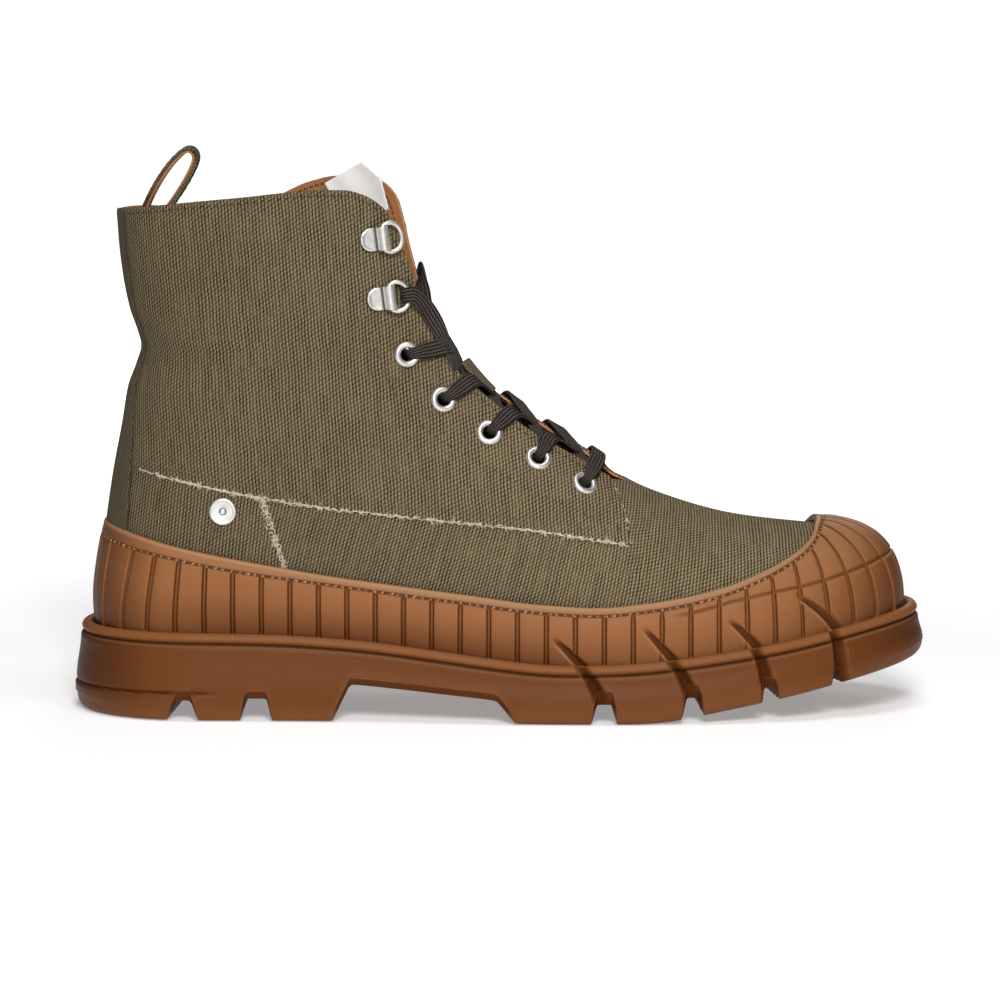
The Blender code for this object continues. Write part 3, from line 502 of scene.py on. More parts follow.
def solid_between(name, patches, mats, inner_mat=0, bevel=0.3, weld=1e-3, holes=(), hole_radius=2.75, **more):
    """Closed wall between two heights of open patches; each patch is a dict with
    points, normals, high, low, uv (n x m grids) and flip."""
    pts, nrm, hi, lo, uv, faces, start = [], [], [], [], [], [], 0
    for patch in patches:
        n, m = patch["points"].shape[:2]
        pts.append(patch["points"].reshape(-1, 3))
        nrm.append(patch["normals"].reshape(-1, 3))
        hi.append(np.broadcast_to(patch["high"], (n, m)).reshape(-1))
        lo.append(np.broadcast_to(patch["low"], (n, m)).reshape(-1))
        uv.append(patch["uv"].reshape(-1, 2))
        f = quads(n, m, start=start)
        faces.append(f[:, ::-1] if patch.get("flip") else f)
        start += n * m
    pts, nrm, uv = np.vstack(pts), np.vstack(nrm), np.vstack(uv)
    hi, lo, faces = np.concatenate(hi), np.concatenate(lo), np.vstack(faces)
    for spot in holes:
        near = np.linalg.norm(pts - np.asarray(spot)[None, :], axis=1) < hole_radius
        faces = faces[~near[faces].any(axis=1)]
    first, inverse = weld_index(pts, weld)
    wf = inverse[faces]
    keep = np.array([len(set(f)) == 4 for f in wf.tolist()])
    tri = ~keep
    quad_faces, quad_corner = wf[keep], faces[keep]
    tri_faces, tri_corner = [], []
    for f, c in zip(wf[tri].tolist(), faces[tri].tolist()):
        ring, src = [], []
        for v, o in zip(f, c):
            if v not in ring:
                ring.append(v)
                src.append(o)
        if len(ring) == 3:
            tri_faces.append(ring)
            tri_corner.append(src)
    P, N = pts[first], nrm[first]
    # average the normals of welded points
    acc = np.zeros_like(P)
    np.add.at(acc, inverse, nrm)
    N = acc / np.maximum(np.linalg.norm(acc, axis=1, keepdims=True), 1e-9)
    H, L = hi[first].copy(), lo[first]
    all_faces = quad_faces.tolist() + tri_faces
    all_corner = quad_corner.tolist() + tri_corner
    edges = {}
    for f, c in zip(all_faces, all_corner):
        k = len(f)
        for q in range(k):
            a, b = f[q], f[(q + 1) % k]
            if (b, a) in edges:
                del edges[(b, a)]
            else:
                edges[(a, b)] = (c[q], c[(q + 1) % k])
    rim = np.array(sorted({v for e in edges for v in e}), int)
    if len(rim):
        H[rim] = np.maximum(H[rim] - bevel, L[rim] + 0.05)
    count = len(P)
    verts = np.vstack([P + N * H[:, None], P + N * L[:, None]])
    out_faces = list(all_faces)
    out_corner = list(all_corner)
    index = [0] * len(all_faces)
    for f, c in zip(all_faces, all_corner):
        out_faces.append([v + count for v in reversed(f)])
        out_corner.append(list(reversed(c)))
        index.append(inner_mat)
    for (a, b), (ca, cb) in edges.items():
        out_faces.append([b, a, a + count, b + count])
        out_corner.append([cb, ca, ca, cb])
        index.append(0)
    corner = np.array([c for f in out_corner for c in f], np.int64)
    return make_object(name, verts, [np.array(f) for f in out_faces], mats, index, uv, corner, **more)


def tubes(name, paths, radii, sides, mat, up=None, closed_ends=True, uv_scale=None, **more):
    """Many round wires joined in one mesh; paths N x K x 3 and radii N x K, in millimetres."""
    paths = np.asarray(paths, float)
    n, k = paths.shape[:2]
    radii = np.broadcast_to(np.asarray(radii, float), (n, k))
    t = np.gradient(paths, axis=1)
    t /= np.maximum(np.linalg.norm(t, axis=2, keepdims=True), 1e-9)
    ref = np.broadcast_to(np.array([0.31, 0.27, 0.91]) if up is None else np.asarray(up, float), t.shape) \
        if up is None or np.ndim(up) != 3 else np.asarray(up, float)
    u = np.cross(ref, t)
    u /= np.maximum(np.linalg.norm(u, axis=2, keepdims=True), 1e-9)
    w = np.cross(t, u)
    ang = 2 * PI * np.arange(sides) / sides
    ring = (paths[:, :, None, :] + radii[:, :, None, None]
            * (np.cos(ang)[None, None, :, None] * u[:, :, None, :]
               + np.sin(ang)[None, None, :, None] * w[:, :, None, :]))
    verts = ring.reshape(-1, 3)
    base = (np.arange(n) * k * sides)[:, None, None]
    r = np.arange(k - 1)[None, :, None] * sides
    q = np.arange(sides)[None, None, :]
    q1 = (q + 1) % sides
    f = np.stack([base + r + q, base + r + q1, base + r + sides + q1, base + r + sides + q],
                 axis=-1).reshape(-1, 4)
    faces = f.tolist()
    if closed_ends:
        for i in range(n):
            b = i * k * sides
            faces.append([b + s for s in range(sides - 1, -1, -1)])
            faces.append([b + (k - 1) * sides + s for s in range(sides)])
    d = np.concatenate([np.zeros((n, 1)), np.cumsum(np.linalg.norm(np.diff(paths, axis=1), axis=2), axis=1)], axis=1)
    uv = np.stack(np.broadcast_arrays(ang[None, None, :] / (2 * PI), d[:, :, None]), axis=-1).reshape(-1, 2)
    return make_object(name, verts, [np.array(x) for x in faces], [mat], uv=uv, **more)


def smooth_path(points, count):
    """Evenly spaced points on a smooth curve through the given ones (chord length spline)."""
    p = np.asarray(points, float)
    d = np.concatenate([[0], np.cumsum(np.maximum(np.linalg.norm(np.diff(p, axis=0), axis=1), 1e-6) ** 0.7)])
    n = len(p)
    h = np.diff(d)
    # natural cubic spline
    A = np.zeros((n, n))
    rhs = np.zeros((n, p.shape[1]))
    A[0, 0] = A[-1, -1] = 1
    for i in range(1, n - 1):
        A[i, i - 1], A[i, i], A[i, i + 1] = h[i - 1], 2 * (h[i - 1] + h[i]), h[i]
        rhs[i] = 6 * ((p[i + 1] - p[i]) / h[i] - (p[i] - p[i - 1]) / h[i - 1])
    m = np.linalg.solve(A, rhs)
    t = np.linspace(0, d[-1], count * 8)
    i = np.clip(np.searchsorted(d, t) - 1, 0, n - 2)
    a, b = (d[i + 1] - t)[:, None], (t - d[i])[:, None]
    hh = h[i][:, None]
    q = (m[i] * a ** 3 + m[i + 1] * b ** 3) / (6 * hh) + (p[i] / hh - m[i] * hh / 6) * a + (p[i + 1] / hh - m[i + 1] * hh / 6) * b
    run = np.concatenate([[0], np.cumsum(np.linalg.norm(np.diff(q, axis=0), axis=1))])
    even = np.linspace(0, run[-1], count)
    return np.stack([np.interp(even, run, q[:, c]) for c in range(q.shape[1])], axis=1)


def lathe(name, profile, place, axis, mat, sides=64, **more):
    """Open profile (radius, height), from the middle outward and back, turned about an axis."""
    axis = np.asarray(axis, float) / np.linalg.norm(axis)
    u = np.cross(axis, [0.0, 0.0, 1.0])
    u /= np.linalg.norm(u)
    w = np.cross(axis, u)
    ang = 2 * PI * np.arange(sides) / sides
    prof = np.asarray(profile, float)
    out = np.cos(ang)[:, None] * u + np.sin(ang)[:, None] * w
    verts = (np.asarray(place)[None, None, :] + prof[None, :, 0, None] * out[:, None, :]
             + prof[None, :, 1, None] * axis[None, None, :])
    m = len(prof)
    uv = np.stack(np.broadcast_arrays(ang[:, None] / (2 * PI), np.arange(m)[None, :] / m), axis=-1).reshape(-1, 2)
    f = quads(sides, m, wrap=True)
    return make_object(name, verts.reshape(-1, 3), f, [mat], uv=uv, weld=2e-4, **more)


# -------------------------------------------------------------------- materials
class Nodes:
    """Short hand for a material's node tree."""

    def __init__(self, name):
        self.mat = bpy.data.materials.new(name)
        self.mat.use_nodes = True
        self.tree = self.mat.node_tree
        self.shader = self.tree.nodes["Principled BSDF"]

    def node(self, kind, **values):
        node = self.tree.nodes.new(kind)
        for key, value in values.items():
            setattr(node, key, value)
        return node

    def link(self, out, into):
        self.tree.links.new(out, into)

    def math(self, operation, a, b=None, c=None, clamp=False):
        node = self.node("ShaderNodeMath", operation=operation, use_clamp=clamp)
        for i, v in enumerate((a, b, c)):
            if v is None:
                continue
            if isinstance(v, (int, float)):
                node.inputs[i].default_value = v
            else:
                self.link(v, node.inputs[i])
        return node.outputs[0]

    def mix(self, factor, a, b, blend='MIX'):
        node = self.node("ShaderNodeMix", data_type='RGBA', blend_type=blend)
        for socket, v in ((node.inputs[0], factor), (node.inputs[6], a), (node.inputs[7], b)):
            if isinstance(v, (int, float)):
                socket.default_value = v
            elif isinstance(v, tuple):
                socket.default_value = (*v, 1.0)
            else:
                self.link(v, socket)
        return node.outputs[2]

    def noise(self, vector, scale, detail=3.0, rough=0.55):
        node = self.node("ShaderNodeTexNoise")
        node.inputs["Scale"].default_value = scale
        node.inputs["Detail"].default_value = detail
        node.inputs["Roughness"].default_value = rough
        if vector is not None:
            self.link(vector, node.inputs["Vector"])
        return node.outputs["Fac"]

    def ramp(self, value, low, high, to_low=0.0, to_high=1.0):
        node = self.node("ShaderNodeMapRange", clamp=True)
        self.link(value, node.inputs[0])
        for i, v in enumerate((low, high, to_low, to_high)):
            node.inputs[i + 1].default_value = v
        return node.outputs[0]

    def bump(self, height, distance, strength=1.0, normal=None):
        node = self.node("ShaderNodeBump")
        node.inputs["Strength"].default_value = strength
        node.inputs["Distance"].default_value = distance
        self.link(height, node.inputs["Height"])
        if normal is not None:
            self.link(normal, node.inputs["Normal"])
        return node.outputs["Normal"]

    def object_mm(self):
        """Object coordinates in millimetres."""
        co = self.node("ShaderNodeTexCoord").outputs["Object"]
        node = self.node("ShaderNodeVectorMath", operation='SCALE')
        node.inputs["Scale"].default_value = 1000.0
        self.link(co, node.inputs[0])
        return node.outputs[0]

    def uv(self):
        return self.node("ShaderNodeUVMap", uv_map="weave").outputs["UV"]

    def split(self, vector):
        node = self.node("ShaderNodeSeparateXYZ")
        self.link(vector, node.inputs[0])
        return node.outputs[0], node.outputs[1]

    def axis(self, vector, index):
        node = self.node("ShaderNodeSeparateXYZ")
        self.link(vector, node.inputs[0])
        return node.outputs[index]

    def attribute(self, name):
        return self.node("ShaderNodeAttribute", attribute_name=name).outputs["Fac"]

    def set(self, **values):
        for key, value in values.items():
            socket = self.shader.inputs[key.replace("_", " ")]
            if isinstance(value, tuple):
                socket.default_value = (*value, 1.0)
            elif isinstance(value, (int, float)):
                socket.default_value = value
            else:
                self.link(value, socket)
        return self


def canvas_material(name, light, dark, warp=1.21, period=1.58, depth=0.00022):
    """Plain weave: upright yarns with a staggered lattice of pores between them, one diagonal
    plainer than the other; sizes in millimetres of the uv map."""
    m = Nodes(name)
    uv = m.uv()
    mm = m.object_mm()
    # yarns wander a little
    wob = m.node("ShaderNodeTexNoise")
    wob.inputs["Scale"].default_value = 0.10
    wob.inputs["Detail"].default_value = 2.0
    m.link(mm, wob.inputs["Vector"])
    shift = m.node("ShaderNodeVectorMath", operation='MULTIPLY_ADD')
    shift.inputs[1].default_value = (0.9, 0.8, 0.0)
    m.link(wob.outputs["Color"], shift.inputs[0])
    m.link(uv, shift.inputs[2])
    u, v = m.split(shift.outputs[0])
    a = m.math('DIVIDE', u, warp)
    w = m.math('DIVIDE', v, period)
    half = m.math('MULTIPLY', a, 0.5)

    def wave(value):
        return m.math('COSINE', m.math('MULTIPLY', value, 2 * PI))

    yarn = wave(a)
    cross = wave(m.math('SUBTRACT', half, w))
    back = wave(m.math('ADD', half, w))
    weft = wave(m.math('MULTIPLY', w, 2.0))
    # yarn to yarn, slubs and fuzz
    cell = m.node("ShaderNodeCombineXYZ")
    m.link(m.math('FLOOR', m.math('ADD', a, 0.5)), cell.inputs[0])
    m.link(m.math('FLOOR', m.math('DIVIDE', v, 9.0)), cell.inputs[1])
    white = m.node("ShaderNodeTexWhiteNoise", noise_dimensions='2D')
    m.link(cell.outputs[0], white.inputs["Vector"])
    slub = m.noise(mm, 0.33, 3.0, 0.6)
    patch = m.noise(mm, 0.028, 3.0, 0.5)
    fuzz = m.noise(mm, 2.1, 2.0, 0.7)
    strong = m.ramp(slub, 0.3, 0.7, 0.62, 1.30)
    relief = m.math('ADD', m.math('MULTIPLY_ADD', cross, 0.19, m.math('MULTIPLY', yarn, 0.36)),
                    m.math('MULTIPLY_ADD', back, 0.08, m.math('MULTIPLY', weft, 0.05)))
    tone = m.math('MULTIPLY_ADD', relief, strong, 0.47)
    tone = m.math('MULTIPLY_ADD', m.math('SUBTRACT', white.outputs["Value"], 0.5), 0.14, tone)
    tone = m.math('MULTIPLY_ADD', m.math('SUBTRACT', fuzz, 0.5), 0.95, tone, clamp=True)
    colour = m.mix(tone, dark, light)
    colour = m.mix(m.ramp(patch, 0.36, 0.66, 0.0, 0.16), colour, (0.62, 0.60, 0.55), 'MULTIPLY')
    # painted shade: the canvas is darkened more and more towards the heel, standing in for light falling off there
    heel_painted_shade = m.ramp(m.axis(mm, 0), -140.0, 70.0, 0.42, 0.0)
    colour = m.mix(heel_painted_shade, colour, (0.24, 0.22, 0.20), 'MULTIPLY')
    height = m.math('MULTIPLY_ADD', fuzz, 0.25, relief)
    m.set(Base_Color=colour, Roughness=0.95, Normal=m.bump(height, depth, 0.8))
    m.shader.inputs["Sheen Weight"].default_value = 0.03
    m.shader.inputs["Sheen Roughness"].default_value = 0.6
    m.shader.inputs["Sheen Tint"].default_value = (1.0, 0.86, 0.6, 1.0)
    m.shader.inputs["Specular IOR Level"].default_value = 0.06
    return m.mat


def rubber_material(name, base, groove_shade, rough, grain=0.00003):
    """Moulded gum rubber: faint clouds and satin gloss, with painted shade in its grooves, low down and on faces turned
    to the heel or toe, and painted light on its edges and upward faces, partly with dust.
    """
    m = Nodes(name)
    mm = m.object_mm()
    cloud = m.noise(mm, 0.045, 4.0, 0.55)
    fine = m.noise(mm, 1.6, 4.0, 0.6)
    streak = m.noise(mm, 0.012, 2.0, 0.5)
    tone = m.ramp(cloud, 0.3, 0.72, 0.0, 0.4)
    colour = m.mix(tone, base, tuple(0.82 * c for c in base))
    colour = m.mix(m.ramp(fine, 0.45, 0.8, 0.0, 0.14), colour, tuple(min(1.0, 1.25 * c) for c in base))
    # painted shade: the rubber darkens towards the bottom of the shell, where light from above falls off
    colour = m.mix(m.attribute("low"), colour, tuple(c * f for c, f in zip(base, (0.50, 0.40, 0.30))))
    # paler, greyer colour on upward faces and on the lip band: partly dust, partly painted light from above
    face = m.node("ShaderNodeTexCoord").outputs["Normal"]
    dust_and_top_light = m.math('MULTIPLY_ADD', m.ramp(m.axis(face, 2), 0.45, 0.95), 0.45, m.math('MULTIPLY', m.attribute("dust_and_top_light"), 0.75), clamp=True)
    colour = m.mix(dust_and_top_light, colour, (0.335, 0.185, 0.095))
    # painted shade: faces turned towards the heel or the toe are darkened, as if the light fell off there
    ends = m.ramp(m.math('ABSOLUTE', m.axis(face, 0)), 0.30, 0.95, 0.0, 0.9)
    colour = m.mix(ends, colour, (0.38, 0.32, 0.27), 'MULTIPLY')
    # painted shade in grooves, slits, gaps and recesses, carried in the groove attribute
    groove = m.attribute("groove")
    colour = m.mix(m.math('MULTIPLY', groove, 0.85, clamp=True), colour, groove_shade)
    # painted highlight on edges and rims that face the light, carried in the edge attribute
    lit = m.attribute("edge")
    colour = m.mix(m.math('MULTIPLY', lit, 0.8, clamp=True), colour, tuple(min(1.0, f * c) for c, f in zip(base, (1.6, 1.95, 2.6))))
    gloss = m.math('ADD', m.math('MULTIPLY_ADD', fine, 0.16, rough - 0.08), m.math('MULTIPLY', streak, 0.08))
    m.set(Base_Color=colour, Roughness=gloss, Normal=m.bump(m.noise(mm, 2.6, 3.0, 0.6), grain))
    m.link(m.ramp(groove, 0.1, 0.7, 0.13, 0.02), m.shader.inputs["Specular IOR Level"])
    m.shader.inputs["Subsurface Weight"].default_value = 0.08
    m.shader.inputs["Subsurface Radius"].default_value = (1.0, 0.35, 0.12)
    m.shader.inputs["Subsurface Scale"].default_value = 0.004
    return m.mat


def leather_material(name, light, dark, rough=0.55):
    m = Nodes(name)
    mm = m.object_mm()
    cells = m.node("ShaderNodeTexVoronoi", feature='DISTANCE_TO_EDGE')
    cells.inputs["Scale"].default_value = 1.15
    m.link(mm, cells.inputs["Vector"])
    grain = m.ramp(cells.outputs["Distance"], 0.0, 0.35)
    cloud = m.noise(mm, 0.06, 4.0, 0.6)
    fine = m.noise(mm, 1.8, 3.0, 0.6)
    colour = m.mix(m.ramp(cloud, 0.3, 0.7), light, dark)
    # paler towards the throat
    colour = m.mix(m.ramp(m.axis(mm, 0), -46.0, -38.0, 0.0, 0.6), colour, tuple(min(1.0, 1.5 * c) for c in light))
    colour = m.mix(m.math('MULTIPLY', m.math('SUBTRACT', 1.0, grain), 0.3), colour, tuple(0.6 * c for c in dark))
    m.set(Base_Color=colour, Roughness=m.math('MULTIPLY_ADD', fine, 0.2, rough - 0.1),
          Normal=m.bump(m.math('MULTIPLY_ADD', fine, 0.3, grain), 0.00008))
    m.shader.inputs["Specular IOR Level"].default_value = 0.35
    return m.mat


def metal_material(name, base, rough):
    m = Nodes(name)
    mm = m.object_mm()
    cloud = m.noise(mm, 0.5, 3.0, 0.6)
    fine = m.noise(mm, 5.0, 4.0, 0.7)
    colour = m.mix(m.ramp(cloud, 0.35, 0.7), base, tuple(0.8 * c for c in base))
    m.set(Base_Color=colour, Metallic=0.85, Roughness=m.math('MULTIPLY_ADD', fine, 0.22, rough - 0.1),
          Normal=m.bump(fine, 0.00001))
    return m.mat


def lace_material(name, light, dark):
    """Flat braid: ribs along the lace (uv x in millimetres across, y along)."""
    m = Nodes(name)
    mm = m.object_mm()
    u, v = m.split(m.uv())
    rib = m.math('SINE', m.math('MULTIPLY', m.math('FRACT', m.math('DIVIDE', u, 1.26)), PI))
    row = m.math('FLOOR', m.math('DIVIDE', u, 0.63))
    slant = m.math('ADD', m.math('DIVIDE', v, 1.05), m.math('MULTIPLY', row, 0.5))
    knit = m.math('SINE', m.math('MULTIPLY', m.math('FRACT', slant), PI))
    height = m.math('MULTIPLY', m.math('POWER', rib, 0.6), m.math('MULTIPLY_ADD', knit, 0.55, 0.45))
    fuzz = m.noise(mm, 3.0, 3.0, 0.6)
    tone = m.math('MULTIPLY', height, m.math('MULTIPLY_ADD', fuzz, 1.1, 0.45), clamp=True)
    colour = m.mix(m.math('POWER', tone, 2.7), dark, light)
    m.set(Base_Color=colour, Roughness=0.9, Normal=m.bump(m.math('MULTIPLY_ADD', fuzz, 0.25, height), 0.00030))
    m.shader.inputs["Specular IOR Level"].default_value = 0.12
    return m.mat


def thread_material(name, light, dark, rough=0.75, twist=0.9):
    """Twisted thread (uv y along it in millimetres, x round it)."""
    m = Nodes(name)
    mm = m.object_mm()
    u, v = m.split(m.uv())
    ply = m.math('SINE', m.math('MULTIPLY', m.math('FRACT', m.math('ADD', u, m.math('DIVIDE', v, twist))), PI))
    fuzz = m.noise(mm, 4.0, 3.0, 0.6)
    colour = m.mix(m.math('MULTIPLY', ply, m.math('MULTIPLY_ADD', fuzz, 0.7, 0.6), clamp=True), dark, light)
    m.set(Base_Color=colour, Roughness=rough, Normal=m.bump(ply, 0.00006))
    m.shader.inputs["Specular IOR Level"].default_value = 0.3
    return m.mat


def cotton_material(name, light, dark):
    m = Nodes(name)
    mm = m.object_mm()
    u, v = m.split(m.uv())
    weft = m.math('SINE', m.math('MULTIPLY', m.math('FRACT', m.math('DIVIDE', v, 0.34)), PI))
    warp = m.math('SINE', m.math('MULTIPLY', m.math('FRACT', m.math('DIVIDE', u, 0.5)), PI))
    cloud = m.noise(mm, 0.2, 3.0, 0.5)
    h = m.math('MULTIPLY_ADD', warp, 0.3, weft)
    colour = m.mix(m.math('MULTIPLY_ADD', cloud, 0.5, m.math('MULTIPLY', h, 0.35), clamp=True), dark, light)
    m.set(Base_Color=colour, Roughness=0.7, Normal=m.bump(h, 0.00004))
    m.shader.inputs["Specular IOR Level"].default_value = 0.3
    return m.mat


CANVAS_LIGHT, CANVAS_DARK = (0.322, 0.255, 0.150), (0.018, 0.0105, 0.002)
CANVAS = canvas_material("olive_canvas", CANVAS_LIGHT, CANVAS_DARK)
CANVAS_FINE = canvas_material("olive_canvas_fine", (0.235, 0.195, 0.125), (0.03, 0.02, 0.008), 0.98, 1.3, 0.00018)
GUM = rubber_material("gum_rubber", (0.300, 0.118, 0.042), (0.070, 0.017, 0.003), 0.45)
SOLE = rubber_material("sole_rubber", (0.147, 0.0445, 0.0105), (0.036, 0.008, 0.001), 0.45)
LINING = leather_material("tan_leather", (0.46, 0.205, 0.080), (0.29, 0.118, 0.042))
FOOTBED = leather_material("footbed_leather", (0.30, 0.16, 0.08), (0.22, 0.11, 0.05), 0.65)
NICKEL = metal_material("nickel", (0.84, 0.81, 0.77), 0.38)
NICKEL_FLAT = metal_material("nickel_worn", (0.76, 0.735, 0.70), 0.5)
# dark nickel used as painted shade: inside the eyelets, in the button's ring groove and in the clips' crease
NICKEL_SHADE = metal_material("nickel_painted_shade", (0.16, 0.15, 0.14), 0.5)
LACE = lace_material("charcoal_lace", (0.135, 0.107, 0.091), (0.003, 0.002, 0.0015))
TAN_THREAD = thread_material("tan_thread", (0.56, 0.30, 0.14), (0.18, 0.07, 0.022))
# dark slits standing for the shade in the shell seam's needle holes: painted shade
SLIT_SHADE = thread_material("painted_slit_shade", (0.055, 0.017, 0.005), (0.015, 0.004, 0.001))
BROWN_THREAD = thread_material("brown_thread", (0.19, 0.068, 0.022), (0.045, 0.013, 0.003))
SHADE_THREAD = thread_material("shade_thread", (0.055, 0.042, 0.024), (0.02, 0.014, 0.007))
OLIVE_THREAD = thread_material("olive_thread", (0.20, 0.165, 0.105), (0.05, 0.038, 0.02))
CREAM_THREAD = thread_material("cream_thread", (0.80, 0.72, 0.58), (0.40, 0.33, 0.23), 0.9, 0.6)
COTTON = cotton_material("white_cotton", (0.92, 0.90, 0.87), (0.80, 0.78, 0.75))


# ------------------------------------------------------------------ upper panels
def spread_rows(total, rows, rims=(0.35, 0.9)):
    """Shares 0..1 of a length, with close rows at both ends."""
    total = np.asarray(total, float)[..., None]
    inner = np.linspace(0, 1, rows)
    fine = np.array([0.0, *rims])
    safe = np.maximum(total, 4 * rims[-1])
    low = fine / safe
    first = rims[-1] / safe
    body = first + (1 - 2 * first) * inner
    return np.concatenate([low[..., :-1] * np.ones_like(total), body, 1 - low[..., :-1][..., ::-1]], axis=-1)


def face_patch(s, a_low, a_high, rows, side, high, low, lean=0.0, crest_based=False, rims=(0.35, 0.9)):
    """Patch of the upper's face between two angles, over the sections s."""
    s = np.asarray(s, float)

    def own(a):
        return np.maximum(a, PI / 2 + 1e-7) if side > 0 else np.minimum(a, PI / 2)

    total = np.abs(girth(s, own(a_high)) - girth(s, own(a_low)))
    share = spread_rows(total, rows, rims)
    S = np.broadcast_to(s[:, None], share.shape)
    # equal girth steps between the two angles
    probe = np.linspace(0, 1, 120)
    pa = a_low[:, None] + (a_high - a_low)[:, None] * probe[None, :]
    g = girth(np.broadcast_to(s[:, None], pa.shape), own(pa))
    A = np.empty_like(share)
    for i in range(len(s)):
        gi = g[i] if g[i, -1] >= g[i, 0] else -g[i]
        want = gi[0] + (gi[-1] - gi[0]) * share[i]
        A[i] = np.interp(want, gi, pa[i]) if gi[-1] - gi[0] > 1e-6 else pa[i, 0]
    P = surface(S, A)
    N = surface_normal(S, A)
    rise = girth(S, own(A))
    if crest_based:
        ahead = np.maximum(s, THROAT_X)
        rise = -side * (rise - girth(ahead, own(np.full(s.shape, PI / 2)))[:, None])
    if crest_based:
        along = lean_run(P[..., 0]) - np.sin(lean_vamp(P[..., 0])) * (P[..., 2] - 55.0)
    else:
        along = np.cos(lean) * level_run(P[..., 0], P[..., 2], side) - np.sin(lean) * (P[..., 2] - 120.0)
    uv = np.stack([along, rise], axis=-1)
    swell = crease(P, side)
    return {"points": P, "normals": N, "uv": uv,
            "high": (high(P, share) if callable(high) else high) + swell,
            "low": (low(P, share) if callable(low) else low) + swell,
            "share": share, "flip": side > 0}


def even_sections(c_from, c_to, step, side, extra=()):
    """Sections evenly spaced along the feather line."""
    count = max(2, int(round((c_to - c_from) / step)) + 1)
    c = np.linspace(c_from, c_to, count)
    s = s_of_run(c, side)
    if len(extra):
        s = np.unique(np.concatenate([s, np.asarray(extra, float)]))
        keep = np.concatenate([[True], np.diff(s) > 0.12])
        s = s[keep]
    return s


def collar_z(s, side):
    """Top edge of each quarter; the inner one stands a little ahead and higher at its
    corner, and sags behind it."""
    s = np.asarray(s, float)
    if side < 0:
        return edge_z(s)
    ahead = 5.0 * ease((-28.5 - s) / 15.0) + 4.4 * ease((s + 10.0) / 18.0) * ease((46.5 - s) / 10.0)
    sag = 4.0 * ease((-71.0 - s) / 20.0) * ease((s + 146.0) / 30.0)
    lift = 2.8 * ease((s + 82.0) / 22.0) * ease((-33.0 - s) / 6.0)
    return edge_z(s - ahead) - sag + lift


def throat_top(s, side=-1):
    return np.where(s >= THROAT_X, ridge_z(s) + 5, collar_z(s, side))


def vamp_top(s, side=-1):
    """Top of the lower canvas: hidden under the quarter, up to the crest ahead of the throat."""
    under = true_curve(s, panel_z) + 7.0
    t = ease((s - 30.0) / 6.0)
    return np.where(s >= THROAT_X, ridge_z(s) + 5, (1 - t) * under + t * collar_z(s, side))


# lean of the yarns in the side view, in degrees; that of the lower canvas changes along the foot
LEAN_SHAFT = math.radians(-4.2)
LEAN_HEEL = math.radians(6.8)
LEAN_VAMP = through([(-150, 6.8), (-58, 14.8), (-15, 16.4), (36, 12.4), (66, 8.2), (92, 1.1), (150, -2.0)])


def lean_vamp(x):
    return np.radians(LEAN_VAMP(x))


_lx = np.arange(-170.0, 170.0, 0.5)
_lu = np.concatenate([[0], np.cumsum(np.cos(lean_vamp(_lx[:-1] + 0.25)) * 0.5)])


def lean_run(x):
    return np.interp(x, _lx, _lu)


def make_lower():
    patches = []
    for side in (-1, 1):
        s = even_sections(0.0, RUN[side][-1] - 0.6, 1.7, side, np.concatenate([np.linspace(22, 48, 24), [41, 44.5, THROAT_X]]))
        s = np.minimum(s, TOE_X - 0.02)
        zero = np.zeros_like(s) if side < 0 else np.full_like(s, PI)
        top = angle_at(s, vamp_top(s, side), side)
        patches.append(face_patch(s, zero, top, 46, side, -0.75, -1.3, crest_based=True))
    spots = [face_point(x, z, side) for x, z in EYELETS for side in (-1, 1)]
    obj = solid_between("canvas_lower", patches, [CANVAS], bevel=0.15, holes=spots)
    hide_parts("upper")


def make_lining():
    patches = []
    for side in (-1, 1):
        back = even_sections(0.0, run_of(-58.0, side), 2.8, side)
        ahead = even_sections(run_of(34.0, side), RUN[side][-1] - 0.6, 2.8, side, (41, 44.5, THROAT_X))
        s = np.concatenate([back[:-1], np.linspace(-58, 34, 50)[:-1], ahead])
        s = np.minimum(s, TOE_X - 0.02)
        zero = np.zeros_like(s) if side < 0 else np.full_like(s, PI)
        slope = (collar_z(s + 0.5, side) - collar_z(s - 0.5, side)) if side > 0 else 0 * s
        proud = 0.85 * np.hypot(1.0, slope) * ease((s + 60.0) / 10.0) * ease((40.0 - s) / 10.0) if side > 0 else -0.35
        top = angle_at(s, throat_top(s, side) + proud, side)
        patches.append(face_patch(s, zero, top, 34, side, -1.38, -WALL))
    spots = [face_point(x, z, side) for x, z in EYELETS for side in (-1, 1)]
    obj = solid_between("leather_lining", patches, [LINING], bevel=0.2, holes=spots, hole_radius=2.9)
    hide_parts("upper")


STRIP_RUN = 11.5
# half width of the back strip along the heel, at heights
STRIP_HALF = through([(40, 28.0), (68, 27.0), (85, 25.0), (103, 21.0), (121, 16.5), (133, 14.0), (150, 15.5), (168, 17.0), (200, 17.0)])


def quarter_sections(side):
    front = float(panel_front_x(62.8))
    first = s_of_run(STRIP_RUN - 5.0, side)
    c0 = run_of(first, side)
    back = even_sections(c0, run_of(-58.0, side), 1.9, side)
    return np.unique(np.concatenate([back[:-1], np.linspace(-58, 35, 82), np.linspace(36.5, front, 26)]))


def quarter_top(s, side=-1):
    """Upper bound of the quarter: collar and throat edge, then the slanting front edge."""
    zz = np.linspace(62.8, 92.0, 200)
    xx = panel_front_x(zz)
    front = np.interp(s, xx[::-1], zz[::-1], left=400.0, right=62.8)
    return np.minimum(np.where(s >= THROAT_X, 400, collar_z(s, side)), front)


